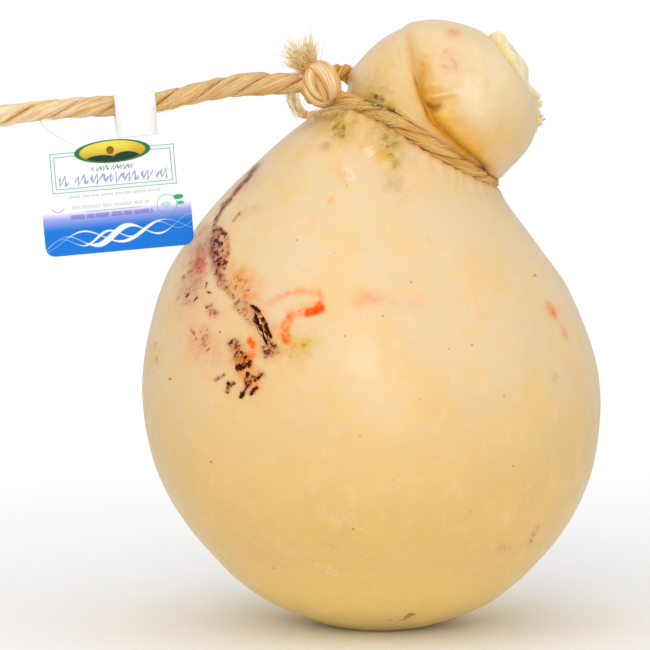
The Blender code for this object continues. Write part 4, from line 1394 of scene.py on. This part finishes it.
class RindProps(bpy.types.PropertyGroup):
    columns: IntProperty(name="Columns", description="Faces round the rind", default=228, min=24)
    rows: IntProperty(name="Rows", description="Faces up the rind", default=224, min=24)
    fine_cuts: IntProperty(
        name="Fine cuts", description="Cuts of each edge where marks are fine", default=2, min=1
    )
    hand_marks: FloatProperty(
        name="Hand marks",
        description="How far the rind swells and sinks where hands shaped it",
        default=0.0005,
        subtype="DISTANCE",
        unit="LENGTH",
    )
    upper_rind: FloatVectorProperty(
        name="Upper rind",
        description="Rind on the shoulders and head",
        default=rgb("#e9cea2")[:3],
        subtype="COLOR",
    )
    lower_rind: FloatVectorProperty(
        name="Lower rind", description="Rind near the foot", default=rgb("#e2be74")[:3], subtype="COLOR"
    )


class CordProps(bpy.types.PropertyGroup):
    diameter: FloatProperty(
        name="Diameter",
        description="Thickness of the laid cord",
        default=CORD_DIAMETER * MM,
        subtype="DISTANCE",
        unit="LENGTH",
    )
    lay: FloatProperty(
        name="Lay",
        description="Length of cord in which a ply goes once round",
        default=CORD_LAY * MM,
        subtype="DISTANCE",
        unit="LENGTH",
    )
    stray_fibres: IntProperty(
        name="Stray fibres", description="Loose fibres on the free cord", default=120, min=0
    )
    brush_fibres: IntProperty(name="Brush fibres", description="Fibres of each tuft", default=44, min=5)
    pale_sisal: FloatVectorProperty(
        name="Pale sisal", description="Fibres in the light", default=rgb("#fce8c8")[:3], subtype="COLOR"
    )
    dark_sisal: FloatVectorProperty(
        name="Dark sisal", description="Fibres between them", default=rgb("#eec080")[:3], subtype="COLOR"
    )


class TagProps(bpy.types.PropertyGroup):
    width: FloatProperty(
        name="Width", description="Card width", default=CARD_WIDTH * MM, subtype="DISTANCE", unit="LENGTH"
    )
    height: FloatProperty(
        name="Height", description="Card height", default=CARD_HEIGHT * MM, subtype="DISTANCE", unit="LENGTH"
    )
    paper: FloatVectorProperty(
        name="Paper", description="Bare card", default=(1.0, 1.0, 1.0), subtype="COLOR"
    )
    field: FloatVectorProperty(
        name="Field", description="Blue field at the foot", default=rgb("#0a78dc")[:3], subtype="COLOR"
    )


class StageProps(bpy.types.PropertyGroup):
    key_power: FloatProperty(
        name="Key", description="Power of the large left light", default=2.7, unit="POWER"
    )
    side_power: FloatProperty(name="Side", description="Power of the side light", default=0.6, unit="POWER")
    front_power: FloatProperty(
        name="Front", description="Power of the small front light", default=1.25, unit="POWER"
    )
    top_power: FloatProperty(
        name="Top", description="Power of the wide light above", default=3.8, unit="POWER"
    )
    low_power: FloatProperty(
        name="Low", description="Power of the low front light", default=0.85, unit="POWER"
    )
    ambient: FloatProperty(name="Ambient", description="Strength of the white surroundings", default=0.70)
    floor: FloatVectorProperty(
        name="Floor", description="Floor colour", default=(0.95, 0.95, 0.95), subtype="COLOR"
    )


class CACIO_OT_stage(bpy.types.Operator):
    """Make the camera, the pale floor and the soft studio lights"""

    bl_idname = "cacio.stage"
    bl_label = "Studio"

    def execute(self, context):
        props = context.scene.cacio_stage
        eye, ahead, _ = camera_axes()
        camera = bpy.data.cameras.new("camera")
        camera.lens = CAMERA_LENS_MM
        camera.sensor_width = CAMERA_SENSOR_MM
        camera.clip_start = 0.05
        camera.clip_end = 30.0
        context.scene.camera = self.aimed("camera", camera, Vector(eye) * MM, Vector(ahead))
        context.scene.view_settings.view_transform = "Standard"
        for name, place, width, aim_height in LIGHTS:
            light = bpy.data.lights.new(name + "_light", "AREA")
            light.energy = getattr(props, name + "_power")
            light.size = width
            self.aimed(name + "_light", light, place, Vector((0.0, 0.0, aim_height)) - Vector(place))
        self.surroundings(context, props)
        self.floor(context, props)
        return {"FINISHED"}

    def aimed(self, name, data, place, way):
        """Links a camera or a light that stands at a place and looks one way."""
        holder = bpy.data.objects.new(name, data)
        holder.location = place
        holder.rotation_euler = way.to_track_quat("-Z", "Y").to_euler()
        bpy.context.scene.collection.objects.link(holder)
        return holder

    def surroundings(self, context, props):
        """White light from all round, with a backdrop that the camera sees as white too."""
        world = bpy.data.worlds.new("white_room")
        world.use_nodes = True
        nodes, links = world.node_tree.nodes, world.node_tree.links
        mixed = nodes.new("ShaderNodeMixShader")
        links.new(nodes.new("ShaderNodeLightPath").outputs["Is Camera Ray"], mixed.inputs[0])
        backdrop = nodes.new("ShaderNodeBackground")
        plans = ((1, nodes["Background"], props.ambient), (2, backdrop, BACKDROP_STRENGTH))
        for socket, background, strength in plans:
            background.inputs["Color"].default_value = (1.0, 1.0, 1.0, 1.0)
            background.inputs["Strength"].default_value = strength
            links.new(background.outputs[0], mixed.inputs[socket])
        links.new(mixed.outputs[0], nodes["World Output"].inputs["Surface"])
        context.scene.world = world

    def floor(self, context, props):
        """A round floor that fades out to the backdrop."""
        bm = bmesh.new()
        bmesh.ops.create_circle(bm, cap_ends=True, segments=96, radius=FLOOR_RADIUS)
        mesh = take_mesh(bm, "floor")
        look = Finish("pale_floor")
        away = look.vector_math("LENGTH", look.places(1.0))
        shown = look.ranged(away, FLOOR_RADIUS * 0.08, FLOOR_RADIUS * 0.8, 1.0, 0.0)
        mesh.materials.append(look.set(Base_Color=(*props.floor, 1.0), Roughness=0.9, Alpha=shown))
        floor = bpy.data.objects.new("floor", mesh)
        context.scene.collection.objects.link(floor)


class CACIO_OT_rind(bpy.types.Operator):
    """Shape the cheese and give it its waxy, stained rind"""

    bl_idname = "cacio.rind"
    bl_label = "Rind"

    def execute(self, context):
        props = context.scene.cacio_rind
        build_rind(props, rind_finish(props))
        build_torn_rim(torn_finish())
        return {"FINISHED"}


class CACIO_OT_tag(bpy.types.Operator):
    """Make the card tag and the paper strap that holds it on the cord"""

    bl_idname = "cacio.tag"
    bl_label = "Card tag"

    def execute(self, context):
        props = context.scene.cacio_tag
        plain = paper_finish(props)
        build_card(props, print_finish(props), plain)
        build_strap(plain)
        return {"FINISHED"}


class CACIO_OT_cord(bpy.types.Operator):
    """Lay the sisal cord: the noose, the knots with their frayed ends, and the free stretch"""

    bl_idname = "cacio.cord"
    bl_label = "Sisal cord"

    def execute(self, context):
        props = context.scene.cacio_cord
        radius = props.diameter * 500
        lay = props.lay * 1000
        sisal = sisal_finish(props, "sisal", "#e8dcc0")
        loose = fibre_finish("loose_sisal", "#f6cc78", "#fff6cc", 0.7)
        self.noose(radius, sisal_finish(props, "neck_sisal", "#e6cf90"), loose)
        self.neck_knot(props, radius, lay, sisal_finish(props, "knot_sisal", "#fbf4e0"), loose)
        self.end_knot(props, radius, sisal, loose)
        self.free_cord(props, radius, lay, sisal, loose)
        return {"FINISHED"}

    def noose(self, radius, sisal, loose):
        line = smooth_route(NOOSE_ROUTE, RING_SPACING)
        slack = NOOSE_TIGHTENED + 0.04 * np.sin(travel(line) / 9.0)
        rope_object("noose_cord", [(line, radius * slack, NOOSE_LAY, 0.4)], sisal, ["neck_cord"])
        strays = stray_fibres(line, radius * 0.95, 90, 13.0, 1.6, 5)
        strays.append(smooth_route(CURL_ROUTE, 0.8))
        fibre_object("noose_fibres", strays, STRAY_RADIUS, loose)

    def neck_knot(self, props, radius, lay, sisal, loose):
        centre, base = np.array(KNOT_CENTRE), np.array(BRUSH_BASE)
        turn = ring_line(centre, KNOT_TURN_AXIS, KNOT_TURN_RADIUS, 1.9, 4.6, 2.0)
        inner = (centre + (-2.0, 0.0, 0.2), centre + (3.0, 1.5, -0.4))
        root = smooth_route((FREE_ROUTE[0], *inner), RING_SPACING)
        stub =smooth_route((centre, base, base + (-1.6, -0.3, 3.0)), 0.6)
        lobe = smooth_route(LOBE_ROUTE, RING_SPACING)
        lines = [
            (turn, 2.6 + 0.28 * np.sin(travel(turn) / 2.9), 44.0, 1.2),
            (root, radius, lay, math.pi - FREE_PHASE),
            (lobe, np.linspace(2.6, 2.1, len(lobe)), 34.0, 1.6),
            (stub, np.linspace(3.1, 2.0, len(stub)), 60.0, 0.5),
        ]
        rope_object("neck_knot_cord", lines, sisal, ["neck_knot"])
        rng = np.random.default_rng(21)
        brush = brush_fibres(BRUSH_BASE, NECK_TUFTS, props.brush_fibres, rng)
        fibre_object("neck_brush", brush, BRUSH_RADIUS, loose)
        fluff = brush_fibres(BRUSH_BASE, NECK_TUFTS, 9, rng, 2.6, 1.12)
        fluff += stray_fibres(turn, 2.75, 80, 9.0, 1.5, 12)
        fibre_object("neck_fluff", fluff, FLUFF_RADIUS, loose)
        pale = fibre_finish("pale_wisps", "#dca040", "#f8e4a8")
        fibre_object("knot_wisps", wisp_fibres(), WISP_RADIUS, pale)

    def end_knot(self, props, radius, sisal, loose):
        centre, end = np.array(STOPPER_CENTRE), np.array(FREE_ROUTE[-1])
        outward = unit(end - np.array(FREE_ROUTE[-2]))
        turn = ring_line(centre, outward, STOPPER_TURN_RADIUS, 1.3, 2.4, 0.8)
        core = smooth_route((end, centre, centre + outward * 4.0), RING_SPACING)
        lines = [(turn, 2.9, 70.0, 1.0), (core, np.linspace(radius, 2.8, len(core)), 31.0, 0.0)]
        rope_object("far_knot_cord", lines, sisal, ["end_knot"])
        brush = brush_fibres(centre + outward * 3.0, FAR_TUFTS, props.brush_fibres, np.random.default_rng(4))
        fibre_object("far_brush", brush, BRUSH_RADIUS, loose)

    def free_cord(self, props, radius, lay, sisal, loose):
        line = smooth_route(FREE_ROUTE, RING_SPACING)
        run = travel(line)
        slack = 1.0 + 0.20 * bell(run - 13.0, 9.0) - 0.03 * np.sin(run / 6.0)
        free = rope_object("free_cord", [(line, radius * slack, lay, FREE_PHASE)], sisal, ["hanging_cord"])
        strays = stray_fibres(line, radius, props.stray_fibres, 15.0, 1.4, 3)
        fibres = fibre_object("free_fibres", strays, STRAY_RADIUS, loose)
        grey = fibre_finish("grey_thread", "#8f8a86", "#b4aca4")
        thread = fibre_object("loose_thread", [smooth_route(THREAD_ROUTE, 1.0)], THREAD_RADIUS, grey)


class CACIO_PT_panel(bpy.types.Panel):
    """Lists the pieces of the cheese in the sidebar"""

    bl_idname = "CACIO_PT_panel"
    bl_label = "Caciocavallo"
    bl_space_type = "VIEW_3D"
    bl_region_type = "UI"
    bl_category = "Caciocavallo"

    def draw(self, context):
        for operator in OPERATORS:
            self.layout.operator(operator.bl_idname)


OPERATORS = (CACIO_OT_stage, CACIO_OT_rind, CACIO_OT_tag, CACIO_OT_cord)
GROUPS = {
    "cacio_rind": RindProps,
    "cacio_cord": CordProps,
    "cacio_tag": TagProps,
    "cacio_stage": StageProps,
}
CLASSES = (*GROUPS.values(), *OPERATORS, CACIO_PT_panel)


def register():
    for cls in CLASSES:
        bpy.utils.register_class(cls)
    for name, group in GROUPS.items():
        setattr(bpy.types.Scene, name, PointerProperty(type=group))


def unregister():
    for name in GROUPS:
        delattr(bpy.types.Scene, name)
    for cls in reversed(CLASSES):
        bpy.utils.unregister_class(cls)


def main():
    register()
    bpy.ops.cacio.stage()
    bpy.ops.cacio.rind()
    bpy.ops.cacio.tag()
    bpy.ops.cacio.cord()


if __name__ == "__main__":
    main()
